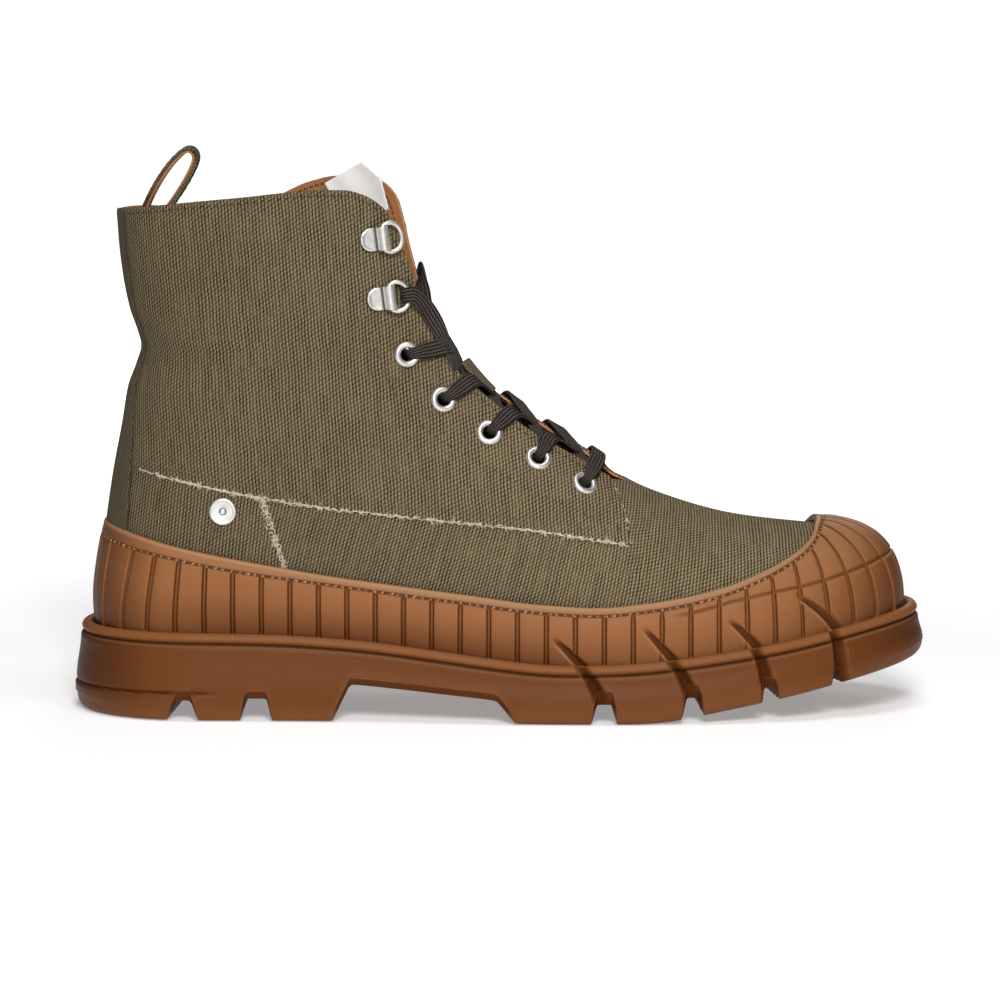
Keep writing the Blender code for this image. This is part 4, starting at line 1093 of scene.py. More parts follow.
def make_quarters():
    for side, word in ((-1, "lateral"), (1, "medial")):
        s = quarter_sections(side)
        bottom = true_curve(s, panel_z)
        top = np.maximum(quarter_top(s, side), bottom + 0.02)
        low_a, high_a = angle_at(s, bottom, side), angle_at(s, top, side)

        def under(P, share):
            rise = P[..., 2] - panel_z(P[..., 0])
            return -0.7 - 0.62 * ease((rise - 9.0) / 5.0) * ease((38 - P[..., 0]) / 8.0)

        patch = face_patch(s, low_a, high_a, 84, side, 0.15, under, LEAN_SHAFT)
        spots = [face_point(x, z, side) for x, z in EYELETS]
        obj = solid_between("quarter_" + word, [patch], [CANVAS], bevel=0.35, holes=spots)
        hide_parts("upper")


def make_heel_panels():
    for side, word in ((-1, "lateral"), (1, "medial")):
        first = s_of_run(STRIP_RUN - 5.0, side)
        zs = np.linspace(46, 90, 100)
        seam = section_of(heel_seam_x(zs), zs)
        s = even_sections(run_of(first, side), run_of(seam.max(), side), 1.2, side)
        bottom = shell_z(s) - 5.0
        top = true_curve(s, panel_z) + 5.0
        # columns past the seam's upper end stop on the seam
        reach = np.interp(s, seam[::-1], zs[::-1], left=400.0, right=46.0)
        top = np.maximum(np.minimum(top, reach), bottom + 0.05)
        patch = face_patch(s, angle_at(s, bottom, side), angle_at(s, top, side), 22, side, -0.22, -0.72, LEAN_HEEL)
        obj = solid_between("heel_panel_" + word, [patch], [CANVAS], bevel=0.2)
        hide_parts("upper")


def strip_grid(side, shares, rows=96):
    """Sections and angles of the back strip; shares of its half width."""
    t = np.linspace(0, 1, rows)
    f = np.asarray(shares, float)
    z = np.full((len(f), rows), 120.0)
    for _ in range(4):
        s = s_of_run(f[:, None] * STRIP_HALF(z), side)
        low, top = shell_z(s) - 4.0, collar_z(s, side) - 0.1
        z = low + (top - low) * t[None, :]
    return s, angle_at(s, z, side)


def make_back_strip():
    patches = []
    f = np.concatenate([np.linspace(0, 0.93, 18), [0.965, 0.985, 1.0]])
    for side in (-1, 1):
        S, A = strip_grid(side, f)
        P, N = surface(S, A), surface_normal(S, A)
        rise = girth(S, A)
        uv = np.stack([run_of(S, side) * side, rise], axis=-1)
        swell = crease(P, side)
        edge = ((1 - f) * 20.0)[:, None]
        high = 0.62 + 0.18 * np.exp(-((edge - 1.2) / 0.9) ** 2) - 0.15 * np.exp(-((edge - 2.9) / 0.6) ** 2)
        patches.append({"points": P, "normals": N, "uv": uv, "high": high + swell, "low": 0.2 + swell, "flip": side > 0})
    obj = solid_between("back_strip", patches, [CANVAS_FINE], bevel=0.45)
    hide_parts("upper")


# ------------------------------------------------------------------- rubber shell
RIB_PITCH = 10.36
RIB_AT = 6.5
FAN_X = 66.0
FAN_END = 104.0
LIP = 3.1                 # stitch line below the shell's edge, more at the heel


def rib_places(side):
    """Runs along the feather line at which a rib groove lies, heel to toe."""
    at = float(run_of(RIB_AT, side))
    back = np.arange(at, 1.0, -RIB_PITCH)
    ahead = np.arange(at + RIB_PITCH, RUN[side][-1] - 1.0, RIB_PITCH)
    return np.concatenate([back[::-1], ahead])


def shell_run_columns(side):
    ribs = rib_places(side)
    total = RUN[side][-1]
    offsets = np.array([-1.5, -1.05, -0.88, -0.68, -0.5, -0.3, 0.0, 0.3, 0.5, 0.68, 0.88, 1.05, 1.5])
    c = np.concatenate([(ribs[:, None] + offsets[None, :]).ravel(), np.arange(0, total, 1.5), [0.0, total]])
    for line in SLANTS:
        lo, hi = run_of(line[0][0] - 2, side), run_of(line[1][0] + 3, side)
        c = np.concatenate([c, np.arange(lo, hi, 0.55)])
    c = np.unique(c[(c >= 0) & (c <= total)])
    keep, last = [], -1.0
    fixed = np.concatenate([(ribs[:, None] + offsets[None, :]).ravel(), [0.0, total]])
    for v in c:
        is_fixed = np.min(np.abs(fixed - v)) < 1e-6
        if v - last >= (0.12 if is_fixed else 0.34):
            keep.append(v)
            last = v
    keep = np.array(keep)
    keep[0], keep[-1] = 0.0, total
    return keep


def shell_lines(side, samples=420):
    """For each column: line over the face from the feather line to the shell's edge."""
    c = shell_run_columns(side)
    s = np.clip(s_of_run(c, side), HEEL_X, TOE_X - 1e-4)
    s[0] = HEEL_X
    lines = np.empty((len(c), samples, 3))
    plain = s <= FAN_X
    # sections across the boot
    sp = s[plain]
    # columns round the heel lean forward as they rise
    lean = 3.6 * ease((sp - HEEL_X) / 12.0) * (1 - ease((sp - HEEL_X - 8.0) / 38.0))
    top = angle_at(sp + lean, shell_z(sp + lean))
    up = np.linspace(0, 1, samples)[None, :]
    a = top[:, None] * up
    lines[plain] = surface(sp[:, None] + lean[:, None] * up, a if side < 0 else PI - a)
    # fan over the toe
    sf = s[~plain]
    cf = c[~plain]
    c0, c1 = float(run_of(FAN_X, side)), RUN[side][-1]
    q = (cf - c0) / (c1 - c0)
    power = (c1 - c0) / (FAN_END - FAN_X)
    aim = FAN_X + (FAN_END - FAN_X) * (1 - (1 - q) ** power)
    fx = sf
    fy = centre_y(sf) + side * full_width(sf, feather_z(sf), side)
    t = np.linspace(0, 1, 1600) ** 2.2
    x = fx[:, None] + t[None, :] * (aim - fx)[:, None]
    y = fy[:, None] + t[None, :] * (centre_y(aim) - fy)[:, None]
    wide = np.maximum(full_width(x, np.full_like(x, 40.0), side), 1e-6)
    d = np.clip(np.abs(y - centre_y(x)) / wide, 0, 1)
    low = feather_z(x)
    z = low + (ridge_z(x) - low) * (1 - d ** 2) ** (1 / arch_power(x))
    over = np.where(x < CAP_X, z - shell_z(np.minimum(x, CAP_X)), -1.0)
    over[:, :40] = -1.0
    for i in range(len(sf)):
        k = int(np.argmax(over[i] > 0))
        if over[i, k] <= 0:
            k = len(t) - 1
        f = over[i, k - 1] / (over[i, k - 1] - over[i, k]) if over[i, k - 1] > -0.9 else 1.0
        pts = np.stack([x[i, :k + 1], y[i, :k + 1], z[i, :k + 1]], axis=1)
        pts[-1] = pts[-2] + (pts[-1] - pts[-2]) * np.clip(f, 0, 1)
        run = np.concatenate([[0], np.cumsum(np.linalg.norm(np.diff(pts, axis=0), axis=1))])
        at = np.linspace(0, run[-1], samples)
        lines[np.flatnonzero(~plain)[i]] = np.stack([np.interp(at, run, pts[:, m]) for m in range(3)], axis=1)
    return c, s, lines


LIP_ROWS = np.array([4.6, 4.2, 3.9, 3.7, 3.5, 3.3, 3.1, 2.9, 2.7, 2.4, 1.8, 1.1, 0.55, 0.25, 0.08, 0.0])
LOW_ROWS = 27
SLANT_PATHS = [smooth_path(line, 26) for line in SLANTS]


def lip_at(s):
    """Width of the lip above the stitch line: wider round the heel."""
    return LIP + 1.3 * (1 - ease((s + 105.0) / 50.0)) + 0.9 * (1 - ease((s + 147.0) / 30.0))


def shell_rows(line, wide):
    """Lengths along a column at which rows lie: bottom part, cross groove, upper part, lip.
    Rows stand closer where a slanting groove crosses."""
    run = np.concatenate([[0], np.cumsum(np.linalg.norm(np.diff(line, axis=0), axis=1))])
    total = run[-1]
    over = line[:, 2] - toe_groove_z(line[:, 0])
    k = int(np.argmax(over > 0)) if (over > 0).any() and line[0, 0] > 38 else -1
    clear = 4.6 * wide / LIP + 1.55
    groove = min(run[k] if k > 0 else total, total - clear)
    band = np.array([-1.3, -0.85, -0.6, -0.35, 0.0, 0.35, 0.6, 0.85, 1.3])
    even = np.linspace(0, groove - 1.3, 240)
    weight = np.ones(240)
    px, pz = np.interp(even, run, line[:, 0]), np.interp(even, run, line[:, 2])
    for path in SLANT_PATHS:
        if path[0, 0] - 8 < px.min() and px.max() < path[-1, 0] + 8:
            d, share = to_line(px, pz, path)
            weight += 4.0 * np.exp(-(d / 2.0) ** 2) * ease(share / 0.2)
    place = np.concatenate([[0], np.cumsum((weight[1:] + weight[:-1]) / 2)])
    first = np.interp(np.linspace(0, place[-1], LOW_ROWS)[:-1], place, even)
    lip = LIP_ROWS * wide / LIP
    second = np.linspace(groove + 1.3, total - lip[0], 14)[1:-1]
    return run, np.concatenate([first, groove + band, second, total - lip]), groove, total


def trench(d, half, soft):
    """Flat groove profile: 1 inside, 0 outside, with soft walls."""
    return 1 - ease((np.abs(d) - half + soft) / (2 * soft))


def slant_field(x, z):
    """Slanting side grooves: depth share, and the rim along their lower side, raised a little and given a painted
    highlight.
    """
    depth, rim = np.zeros(np.shape(x)), np.zeros(np.shape(x))
    for path in SLANT_PATHS:
        d, share = to_line(x, z, path)
        i = np.clip((share * (len(path) - 1)).astype(int), 0, len(path) - 2)
        way = path[i + 1] - path[i]
        below = way[..., 0] * (z - path[i, 1]) - way[..., 1] * (x - path[i, 0]) < 0
        half = 0.6 + 2.5 * np.maximum(share, 1e-6) ** 0.75
        there = ease(share / 0.16) * (d < 8.0)
        depth = np.maximum(depth, there * np.clip(1 - (d / half) ** 2.2, 0, 1))
        rim = np.maximum(rim, there * np.exp(-((d - half) / 0.42) ** 2) * below)
    return depth, rim


def make_shell():
    grids, depths, marks, uvs = [], [], [], []
    for side in (-1, 1):
        c, s, lines = shell_lines(side)
        ribs = rib_places(side)
        near = ribs[np.argmin(np.abs(c[:, None] - ribs[None, :]), axis=1)]
        G, R, V, K = [], [], [], []
        edge = lip_at(s)
        for line, wide in zip(lines, edge):
            run, rows, groove, total = shell_rows(line, wide)
            G.append(np.stack([np.interp(rows, run, line[:, k]) for k in range(3)], axis=1))
            R.append(rows)
            V.append(total - rows)
            K.append(groove)
        G, R, V, K, edge = np.array(G), np.array(R), np.array(V), np.array(K)[:, None], edge[:, None]
        # distance from the nearest rib groove, measured where the columns draw together
        apart = np.linalg.norm(np.gradient(G, axis=0), axis=2) / np.maximum(np.gradient(c), 1e-6)[:, None]
        apart = np.clip(apart, 0.3, 1.2)
        d = (c - near)[:, None] * apart
        ahead = ease((s - 44) / 6.0)[:, None]
        over = ease((R - K) / 0.8) * ahead
        half = 0.72 - 0.16 * over
        ends = ease((V - edge - 0.25) / 0.7) * ease((R - 0.6) / 1.0)
        rib = trench(d, half, 0.30) * ends
        cross = trench(R - K, 0.6, 0.26) * ease((s - 60) / 9.0)[:, None]
        sewn = np.exp(-((V - edge) / 0.5) ** 2)
        slant, bright = slant_field(G[..., 0], G[..., 2])
        depth = np.maximum(np.maximum(rib * (1.0 - 0.3 * over), 0.7 * cross), np.maximum(0.6 * sewn, 2.1 * slant)) - 0.18 * bright
        away = np.clip(np.abs(c - near) / (RIB_PITCH / 2), 0, 1)[:, None]
        pad = -0.28 * (1 - away) ** 2 * ends
        lip = 0.20 * ease((edge - 0.3 - V) / 0.6) - 0.9 * np.clip(1 - V / 1.0, 0, 1) ** 2.2
        hug = -0.75 * ease((8.0 - V) / 7.0)
        heel = -1.25 * (1 - ease((s - HEEL_X) / 26.0))[:, None] * ease((G[..., 2] - 42) / 26.0)
        wall = np.exp(-((np.abs(d) - 0.8 * half) / 0.24) ** 2) * ends
        # painted shade: darker in the rib grooves and along their walls, in the cross groove, the stitch groove and the
        # slanting grooves
        dark = np.maximum(np.maximum(0.35 * rib + 0.45 * wall, 0.5 * cross), np.maximum(0.9 * sewn, 0.9 * slant ** 1.2))
        # painted highlight along the lip's upper rim and beside the slanting grooves
        rim = np.maximum(0.6 * ease((V - 0.1) / 0.3) * ease((1.3 - V) / 0.6), 0.7 * bright)
        # paler band on the lip above the stitch line: partly wear, partly a painted highlight on its upper rim
        band = ease((edge - 0.35 - V) / 0.5) * (0.4 + 0.6 * ease((s + 110.0) / 60.0))[:, None]
        # painted shade towards the bottom of the shell, less at the front and at the very heel
        span = np.maximum(R[:, -1:], 6.0)
        much = 1.0 - 0.55 * ease((s - 5) / 50.0) - 0.35 * (1 - ease((s + 135) / 40.0))
        low = much[:, None] * (1 - ease((R - 1.5) / (0.72 * span))) ** 1.2
        U = np.stack([np.broadcast_to(c[:, None], R.shape), R], axis=-1)
        D = lip + hug + heel + pad - depth
        M = np.stack([np.clip(dark, 0, 1), np.clip(rim, 0, 1), np.clip(low, 0, 1), band], axis=-1)
        if side > 0:                     # continue round the loop: toe back to heel, ends shared
            G, D, M, U, V = G[-2:0:-1], D[-2:0:-1], M[-2:0:-1], U[-2:0:-1], V[-2:0:-1]
        grids.append(G)
        depths.append(D)
        marks.append(M)
        uvs.append(np.concatenate([U, V[..., None]], axis=-1))
    G, D, M, U = (np.concatenate(v) for v in (grids, depths, marks, uvs))
    U, V = U[..., :2], U[..., 2]
    n, m = G.shape[:2]
    dc = np.roll(G, -1, axis=0) - np.roll(G, 1, axis=0)
    dr = np.gradient(G, axis=1)
    N = np.cross(dc, dr)
    N /= np.maximum(np.linalg.norm(N, axis=2, keepdims=True), 1e-9)
    # keep normals steady where columns crowd together
    for _ in range(2):
        N = 0.25 * np.roll(N, 1, axis=0) + 0.5 * N + 0.25 * np.roll(N, -1, axis=0)
        N /= np.maximum(np.linalg.norm(N, axis=2, keepdims=True), 1e-9)
    outer = G + N * (SHELL_GAP + SHELL_WALL + D)[..., None]
    inner_rows = list(range(m - 1, -1, -9))
    if inner_rows[-1] != 0:
        inner_rows.append(0)
    # the inside closes on the canvas under the lip
    close = SHELL_GAP - 1.3 * ease((4.5 - V[:, inner_rows]) / 4.0)
    inner = G[:, inner_rows] + N[:, inner_rows] * close[..., None]
    grid = np.concatenate([outer, inner, outer[:, :1]], axis=1)
    k = grid.shape[1]
    uv = np.concatenate([U, U[:, inner_rows], U[:, :1]], axis=1)
    at = np.concatenate([M, np.zeros((n, k - m, 4))], axis=1)
    obj = make_object("ribbed_shell", grid.reshape(-1, 3), quads(n, k, wrap=True), [GUM], uv=uv.reshape(-1, 2),
                      attrs={"groove": at[..., 0].ravel(), "edge": at[..., 1].ravel(), "low": at[..., 2].ravel(),
                             "dust_and_top_light": at[..., 3].ravel()}, weld=1e-4)
    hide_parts("rubber_shell")
    # stitch line: one seam all round, along the row at LIP, with lighter knots where stitches meet
    row = m - len(LIP_ROWS) + int(np.argmin(np.abs(LIP_ROWS - LIP)))
    line, way = outer[:, row], N[:, row]
    stitches("shell_stitches", line, way, 2.5, 0.4, 0.30, BROWN_THREAD, closed=True, lift=0.10)
    knots("shell_knots", line, way, 2.9, TAN_THREAD, 0.0, 0.25, 0.46)
    # dark slits between the stitches: painted shade in the needle holes
    knots("shell_needle_slits_painted_shade", line, way, 2.9, SLIT_SHADE, 1.45, 0.8, 0.24)


def knots(name, line, normal, pitch, mat, start, lean, thick):
    """Short loops of thread, or slits, where the stitches of a closed seam meet."""
    line, normal = np.vstack([line, line[:1]]), np.vstack([normal, normal[:1]])
    run = np.concatenate([[0], np.cumsum(np.linalg.norm(np.diff(line, axis=0), axis=1))])
    count = int(run[-1] / pitch)
    size = rng.uniform(0.35, 1.15, count)
    f = np.linspace(-1, 1, 7)
    at = (start + np.arange(count) * run[-1] / count + rng.normal(0, 0.25, count))[:, None] + 0.75 * size[:, None] * f[None, :]
    at = np.clip(at, 0, run[-1])
    P = np.stack([np.interp(at, run, line[:, k]) for k in range(3)], axis=-1)
    N = np.stack([np.interp(at, run, normal[:, k]) for k in range(3)], axis=-1)
    N /= np.linalg.norm(N, axis=2, keepdims=True)
    T = np.gradient(P, axis=1)
    side = np.cross(N, T)
    side /= np.maximum(np.linalg.norm(side, axis=2, keepdims=True), 1e-9)
    tilt = rng.normal(lean, 0.35, count)[:, None, None]
    P = P + N * (0.32 - 0.28 * f ** 2)[None, :, None] + side * (tilt * f[None, :, None] * 0.6 * size[:, None, None])
    radius = (thick * np.sqrt(np.clip(1 - 0.9 * f ** 2, 0, 1)))[None, :] * rng.uniform(0.75, 1.2, (count, 1))
    obj = tubes(name, P, radius, 5, mat, up=N)


def stitches(name, line, normal, length, gap, radius, mat, closed=False, lift=0.15, sway=0.0):
    """Row of sewn stitches along a line on a surface."""
    if closed:
        line, normal = np.vstack([line, line[:1]]), np.vstack([normal, normal[:1]])
    run = np.concatenate([[0], np.cumsum(np.linalg.norm(np.diff(line, axis=0), axis=1))])
    pitch = length + gap
    count = max(1, int(run[-1] / pitch))
    pitch = run[-1] / count
    length = pitch - gap
    shares = np.array([0.0, 0.06, 0.2, 0.5, 0.8, 0.94, 1.0])
    dips = np.array([-0.75, -0.15, 0.55, 0.8, 0.55, -0.15, -0.75])
    thick = np.array([0.55, 0.85, 1.0, 1.0, 1.0, 0.85, 0.55])
    start = np.arange(count) * pitch + gap / 2
    at = start[:, None] + length * shares[None, :] + rng.normal(0, 0.07, (count, 1))
    P = np.stack([np.interp(at, run, line[:, m]) for m in range(3)], axis=-1)
    N = np.stack([np.interp(at, run, normal[:, m]) for m in range(3)], axis=-1)
    N /= np.linalg.norm(N, axis=2, keepdims=True)
    T = np.gradient(P, axis=1)
    side = np.cross(N, T)
    side /= np.maximum(np.linalg.norm(side, axis=2, keepdims=True), 1e-9)
    slant = (shares - 0.5)[None, :, None] * (0.25 + rng.normal(0, 0.06, (count, 1, 1))) * length * 0.16
    P = P + N * (dips * radius + lift)[None, :, None] + side * (slant + sway * rng.normal(0, 1, (count, 1, 1)))
    obj = tubes(name, P, thick[None, :] * radius * (1 + rng.normal(0, 0.05, (count, 1))), 5, mat, up=N)
    return obj


# ------------------------------------------------------------------------ outsole
def smax(a, b, k=0.7):
    return 0.5 * (a + b + np.sqrt((a - b) ** 2 + k * k))


def smin(a, b, k=0.7):
    return 0.5 * (a + b - np.sqrt((a - b) ** 2 + k * k))


def underside(x, y):
    """Height of the sole's underside."""
    h = under_z(x)
    for g0, g1, r0, r1, roof, sweep in CHANNELS:
        xr = x - sweep * (CHANNEL_SIDE - np.abs(y))
        ramp = smin((xr - g0) / (r0 - g0), (g1 - xr) / (g1 - r1), 0.08) * roof
        h = smax(h, smin(ramp, roof + 0 * ramp, 1.0), 0.8)
    (x0, z0), (x1, z1), (x2, z2), (x3, z3) = WAIST
    up = z0 + (x - x0) * (z1 - z0) / (x1 - x0)
    flat = z1 + (x - x1) * (z2 - z1) / (x2 - x1)
    down = z2 + (x - x2) * (z3 - z2) / (x3 - x2)
    return smax(h, smin(smin(up, flat, 1.6), down, 1.2), 0.8)


def outline_loop(count):
    """Feather line as a closed loop: outer side heel to toe, then inner side back."""
    loop, xs, sides = [], [], []
    half = count // 2
    for side in (-1, 1):
        c = np.linspace(0, RUN[side][-1], half + 1)
        s = s_of_run(c, side)
        y = centre_y(s) + side * full_width(s, feather_z(s), side)
        y[0], y[-1] = centre_y(s[0]), centre_y(s[-1])
        p = np.stack([s, y], axis=1)
        p, sd = (p[:-1], np.full(half, -1)) if side < 0 else (p[:0:-1], np.full(half, 1))
        loop.append(p)
        sides.append(sd)
    loop = np.vstack(loop)
    ahead, behind = np.roll(loop, -1, axis=0), np.roll(loop, 1, axis=0)
    t = ahead - behind
    t /= np.linalg.norm(t, axis=1, keepdims=True)
    n = np.stack([t[:, 1], -t[:, 0]], axis=1)
    for _ in range(6):
        n = 0.25 * np.roll(n, 1, axis=0) + 0.5 * n + 0.25 * np.roll(n, -1, axis=0)
        n /= np.linalg.norm(n, axis=1, keepdims=True)
    return loop, n, np.concatenate(sides)


# profile of the sole's side, ground to top: offset from the feather line, share of the
# height from the underside to the bead, extra height
WALL_LOW = [(6.4, 0.0, 0.0), (7.3, 0.0, 0.06), (8.2, 0.0, 0.3), (8.9, 0.0, 0.7), (9.45, 0.0, 1.25),
            (9.8, 0.0, 1.95), (9.95, 0.0, 2.8)]
WALL_MID = [(10.0, share) for share in np.linspace(0.02, 0.97, 30)]
WALL_TOP = [(8.2, -5.0), (7.75, -4.6), (7.2, -4.3), (6.8, -4.0), (6.7, -3.7), (6.95, -3.45), (7.4, -3.15), (7.75, -2.7),
            (7.9, -2.2), (7.82, -1.6), (7.5, -1.0), (6.95, -0.5), (6.2, -0.15), (5.4, 0.0), (4.7, -0.15),
            (4.1, -0.6), (3.75, -1.3), (3.6, -2.3)]


def make_outsole():
    count = 960
    loop, normal, sides = outline_loop(count)
    base = loop[:, 0]
    high = bead_z(base)
    rows, groove, edge = [], [], []

    def at(offset):
        return loop + normal * np.asarray(offset)[..., None]

    edge_low = at(np.full(count, 9.95))
    ground = underside(edge_low[:, 0], edge_low[:, 1])
    back = ease((-118 - base) / 28.0)            # the heel's back edge is rounder
    toe = ease((base - 118) / 24.0)
    ball = ease((base - 2.0) / 14.0) * ease((104.0 - base) / 20.0)      # the forefoot's edges lift a little
    # underside rim and rounded lower edge
    for offset, share, extra in WALL_LOW:
        p = at(np.full(count, offset))
        g = underside(p[:, 0], p[:, 1])
        lift = extra * (1 + 1.1 * back + 0.6 * toe) + 2.5 * ball * ((offset - 6.4) / 3.55) ** 1.5
        slant, _ = slant_field(p[:, 0], g + lift)
        p = at(offset - 2.0 * slant * (offset - 6.4) / 3.55)
        rows.append(np.column_stack([p, g + lift]))
        # painted shade in the slanting grooves and up into the lug gaps; painted highlight on the rounded lower edge
        gap = ease((g - under_z(p[:, 0]) - 1.0) / 3.0)
        groove.append(np.maximum(0.8 * slant, 0.55 * gap) * (offset > 7))
        edge.append((0.4 if offset > 8 else 0.0) * (1 - np.clip(2 * slant, 0, 1)) * (1 - gap))
    low = rows[-1][:, 2]
    plain = under_z(base) + 2.8
    roof = high - 5.4
    for offset, share in WALL_MID:
        z = low + (roof - low) * share
        level = np.clip((z - plain) / (roof - plain), 0, 1)
        off = 10.0 - 1.7 * ease((level - 0.30) / 0.7) + 0.15 * np.sin(PI * level)
        p = at(off)
        # slanting grooves, and the line round the heel
        slant, bright = slant_field(p[:, 0], z)
        heel_line = np.exp(-((z - 10.3) / 0.55) ** 2) * ease((-98 - base) / 14.0)
        heel_step = 0.45 * ease((10.0 - z) / 0.8) * ease((-98 - base) / 14.0)
        off = off - 2.6 * slant + 0.15 * bright - 0.8 * heel_line + heel_step
        p = at(off)
        rows.append(np.column_stack([p, z]))
        # painted shade in the slanting grooves and the line round the heel; painted highlight low on the wall and
        # beside the slanting grooves
        groove.append(np.clip(0.9 * slant ** 1.2 + heel_line, 0, 1))
        edge.append(np.maximum(0.28 * ease((5.0 - (z - low)) / 5.0) * (1 - np.clip(2 * slant, 0, 1)), 0.6 * bright))
    for offset, drop in WALL_TOP:
        z = high + drop
        p = at(np.full(count, offset))
        slant, bright = (v * ease((offset - 4.2) / 1.5) for v in slant_field(p[:, 0], z))
        p = at(offset - 2.3 * slant)
        rows.append(np.column_stack([p, z - 0.6 * slant]))
        # painted shade under the bead, in the slanting grooves and where the bead meets the shell; painted highlight on
        # the bead's upper face
        dark = np.exp(-((drop + 3.85) / 0.45) ** 2)
        inside = ease((4.9 - offset) / 0.9)          # dark line where the bead meets the shell
        groove.append(np.clip(0.9 * dark + 0.95 * slant ** 1.3 + 0.9 * inside, 0, 1))
        edge.append(np.maximum(1.1 * math.exp(-((drop + 0.9) / 1.7) ** 4) * (1 - slant), bright))
    grid = np.array(rows)                       # rows x count x 3
    m = len(rows)
    verts = [grid.transpose(1, 0, 2).reshape(-1, 3)]
    faces = [quads(count, m, wrap=True)]
    g_attr = [np.array(groove).T.ravel()]
    e_attr = [np.array(edge).T.ravel()]
    # underside: strips across, lateral column i meets medial column count - i
    half = count // 2
    left = grid[0, :half + 1]
    right = np.vstack([grid[0, :1], grid[0, :half - 1:-1]])
    span = np.concatenate([[0.0], np.linspace(0, 1, 46)[1:-1], [1.0]])
    cap = left[:, None, :] * (1 - span)[None, :, None] + right[:, None, :] * span[None, :, None]
    inside = np.abs(span - 0.5) < 0.499
    cap[:, inside, 2] = underside(cap[:, inside, 0], cap[:, inside, 1])
    start = count * m
    verts.append(cap.reshape(-1, 3))
    faces.append(quads(half + 1, len(span), start=start))
    # painted shade on the underside, darker where it rises into the lug channels
    g_attr.append(np.clip(cap[..., 2] / 9.0, 0, 0.5).ravel() * 0.6)
    e_attr.append(np.zeros(cap.shape[0] * cap.shape[1]))
    start += cap.shape[0] * cap.shape[1]
    # plate under the foot
    left = grid[-1, :half + 1]
    right = np.vstack([grid[-1, :1], grid[-1, :half - 1:-1]])
    span2 = np.linspace(0, 1, 5)
    pick = np.unique(np.concatenate([np.arange(0, half + 1), [half]]))
    plate = left[pick][:, None, :] * (1 - span2)[None, :, None] + right[pick][:, None, :] * span2[None, :, None]
    verts.append(plate.reshape(-1, 3))
    faces.append(quads(len(pick), 5, start=start))
    g_attr.append(np.zeros(plate.shape[0] * 5))
    e_attr.append(np.zeros(plate.shape[0] * 5))
    verts = np.vstack(verts)
    uv = np.stack([verts[:, 0], verts[:, 2]], axis=1)
    obj = make_object("lugged_sole", verts, np.vstack(faces), [SOLE], uv=uv,
                      attrs={"groove": np.concatenate(g_attr), "edge": np.concatenate(e_attr)}, weld=2e-3)
    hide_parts("outsole")


# ----------------------------------------------------------------- insole, tongue
def make_insole():
    count = 360
    loop, normal, _ = outline_loop(count)
    half = count // 2
    base = feather_z(loop[:, 0])
    rings = []
    for inset, z in ((4.2, 0.55), (4.0, 1.6), (4.0, 3.0), (4.3, 3.7), (5.0, 4.05)):
        rings.append(np.column_stack([loop - normal * inset, base + z]))
    grid = np.array(rings).transpose(1, 0, 2)
    verts = [grid.reshape(-1, 3)]
    faces = [quads(count, 5, wrap=True)]
    start = count * 5
    for ring, flip in ((4, False), (0, True)):
        left = grid[:half + 1, ring]
        right = np.vstack([grid[:1, ring], grid[:half - 1:-1, ring]])
        span = np.linspace(0, 1, 26)
        cap = left[:, None, :] * (1 - span)[None, :, None] + right[:, None, :] * span[None, :, None]
        if ring == 4:
            dish = np.sin(PI * span)[None, :] * (0.9 + 0.5 * np.exp(-((cap[..., 0] + 105) / 30) ** 2))
            cap[..., 2] -= dish * 0.9
        verts.append(cap.reshape(-1, 3))
        faces.append(quads(half + 1, 26, start=start))
        start += cap.shape[0] * 26
    verts = np.vstack(verts)
    obj = make_object("footbed", verts, np.vstack(faces), [FOOTBED], uv=verts[:, :2], weld=2e-3)
    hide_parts("insole")


def front_line(x_from, x_to, count):
    x = np.linspace(x_from, x_to, 1200)
    z = ridge_z(x)
    run = np.concatenate([[0], np.cumsum(np.hypot(np.diff(x), np.diff(z)))])
    at = np.linspace(0, run[-1], count)
    px, pz = np.interp(at, run, x), np.interp(at, run, z)
    tx, tz = np.gradient(px, at), np.gradient(pz, at)
    size = np.hypot(tx, tz)
    return np.stack([px, pz], axis=1), np.stack([-tz / size, tx / size], axis=1), run[-1]


def tongue_grid(t_values, s_values):
    """Face over the instep: t across (-1..1), s along (0..1)."""
    line, inward, total = front_line(TONGUE_FROM[0], TONGUE_FROM[1], 240)
    s = np.asarray(s_values, float)
    at = s * 239
    spot = np.stack([np.interp(at, np.arange(240), line[:, k]) for k in range(2)], axis=1)
    way = np.stack([np.interp(at, np.arange(240), inward[:, k]) for k in range(2)], axis=1)
    wing = TONGUE_WING[0] + (TONGUE_WING[1] - TONGUE_WING[0]) * s
    t = np.asarray(t_values, float)
    xz = spot[:, None, :] + way[:, None, :] * (wing[:, None] * t[None, :] ** 2)[..., None]
    x, z = xz[..., 0], xz[..., 1]
    side = np.where(t < 0, -1, 1)[None, :]
    h = half_width(x, z, np.broadcast_to(side, x.shape))
    y = centre_y(x) + side * np.where(np.abs(t)[None, :] < 1e-6, 0.0, h)
    P = np.stack([x, y, z], axis=-1)
    N = np.cross(np.gradient(P, axis=0), np.gradient(P, axis=1))
    N /= np.maximum(np.linalg.norm(N, axis=2, keepdims=True), 1e-9)
    flip = np.where((N[..., 0] * way[:, None, 0] + N[..., 2] * way[:, None, 1]) > 0, -1.0, 1.0)
    return P, N * flip[..., None], total


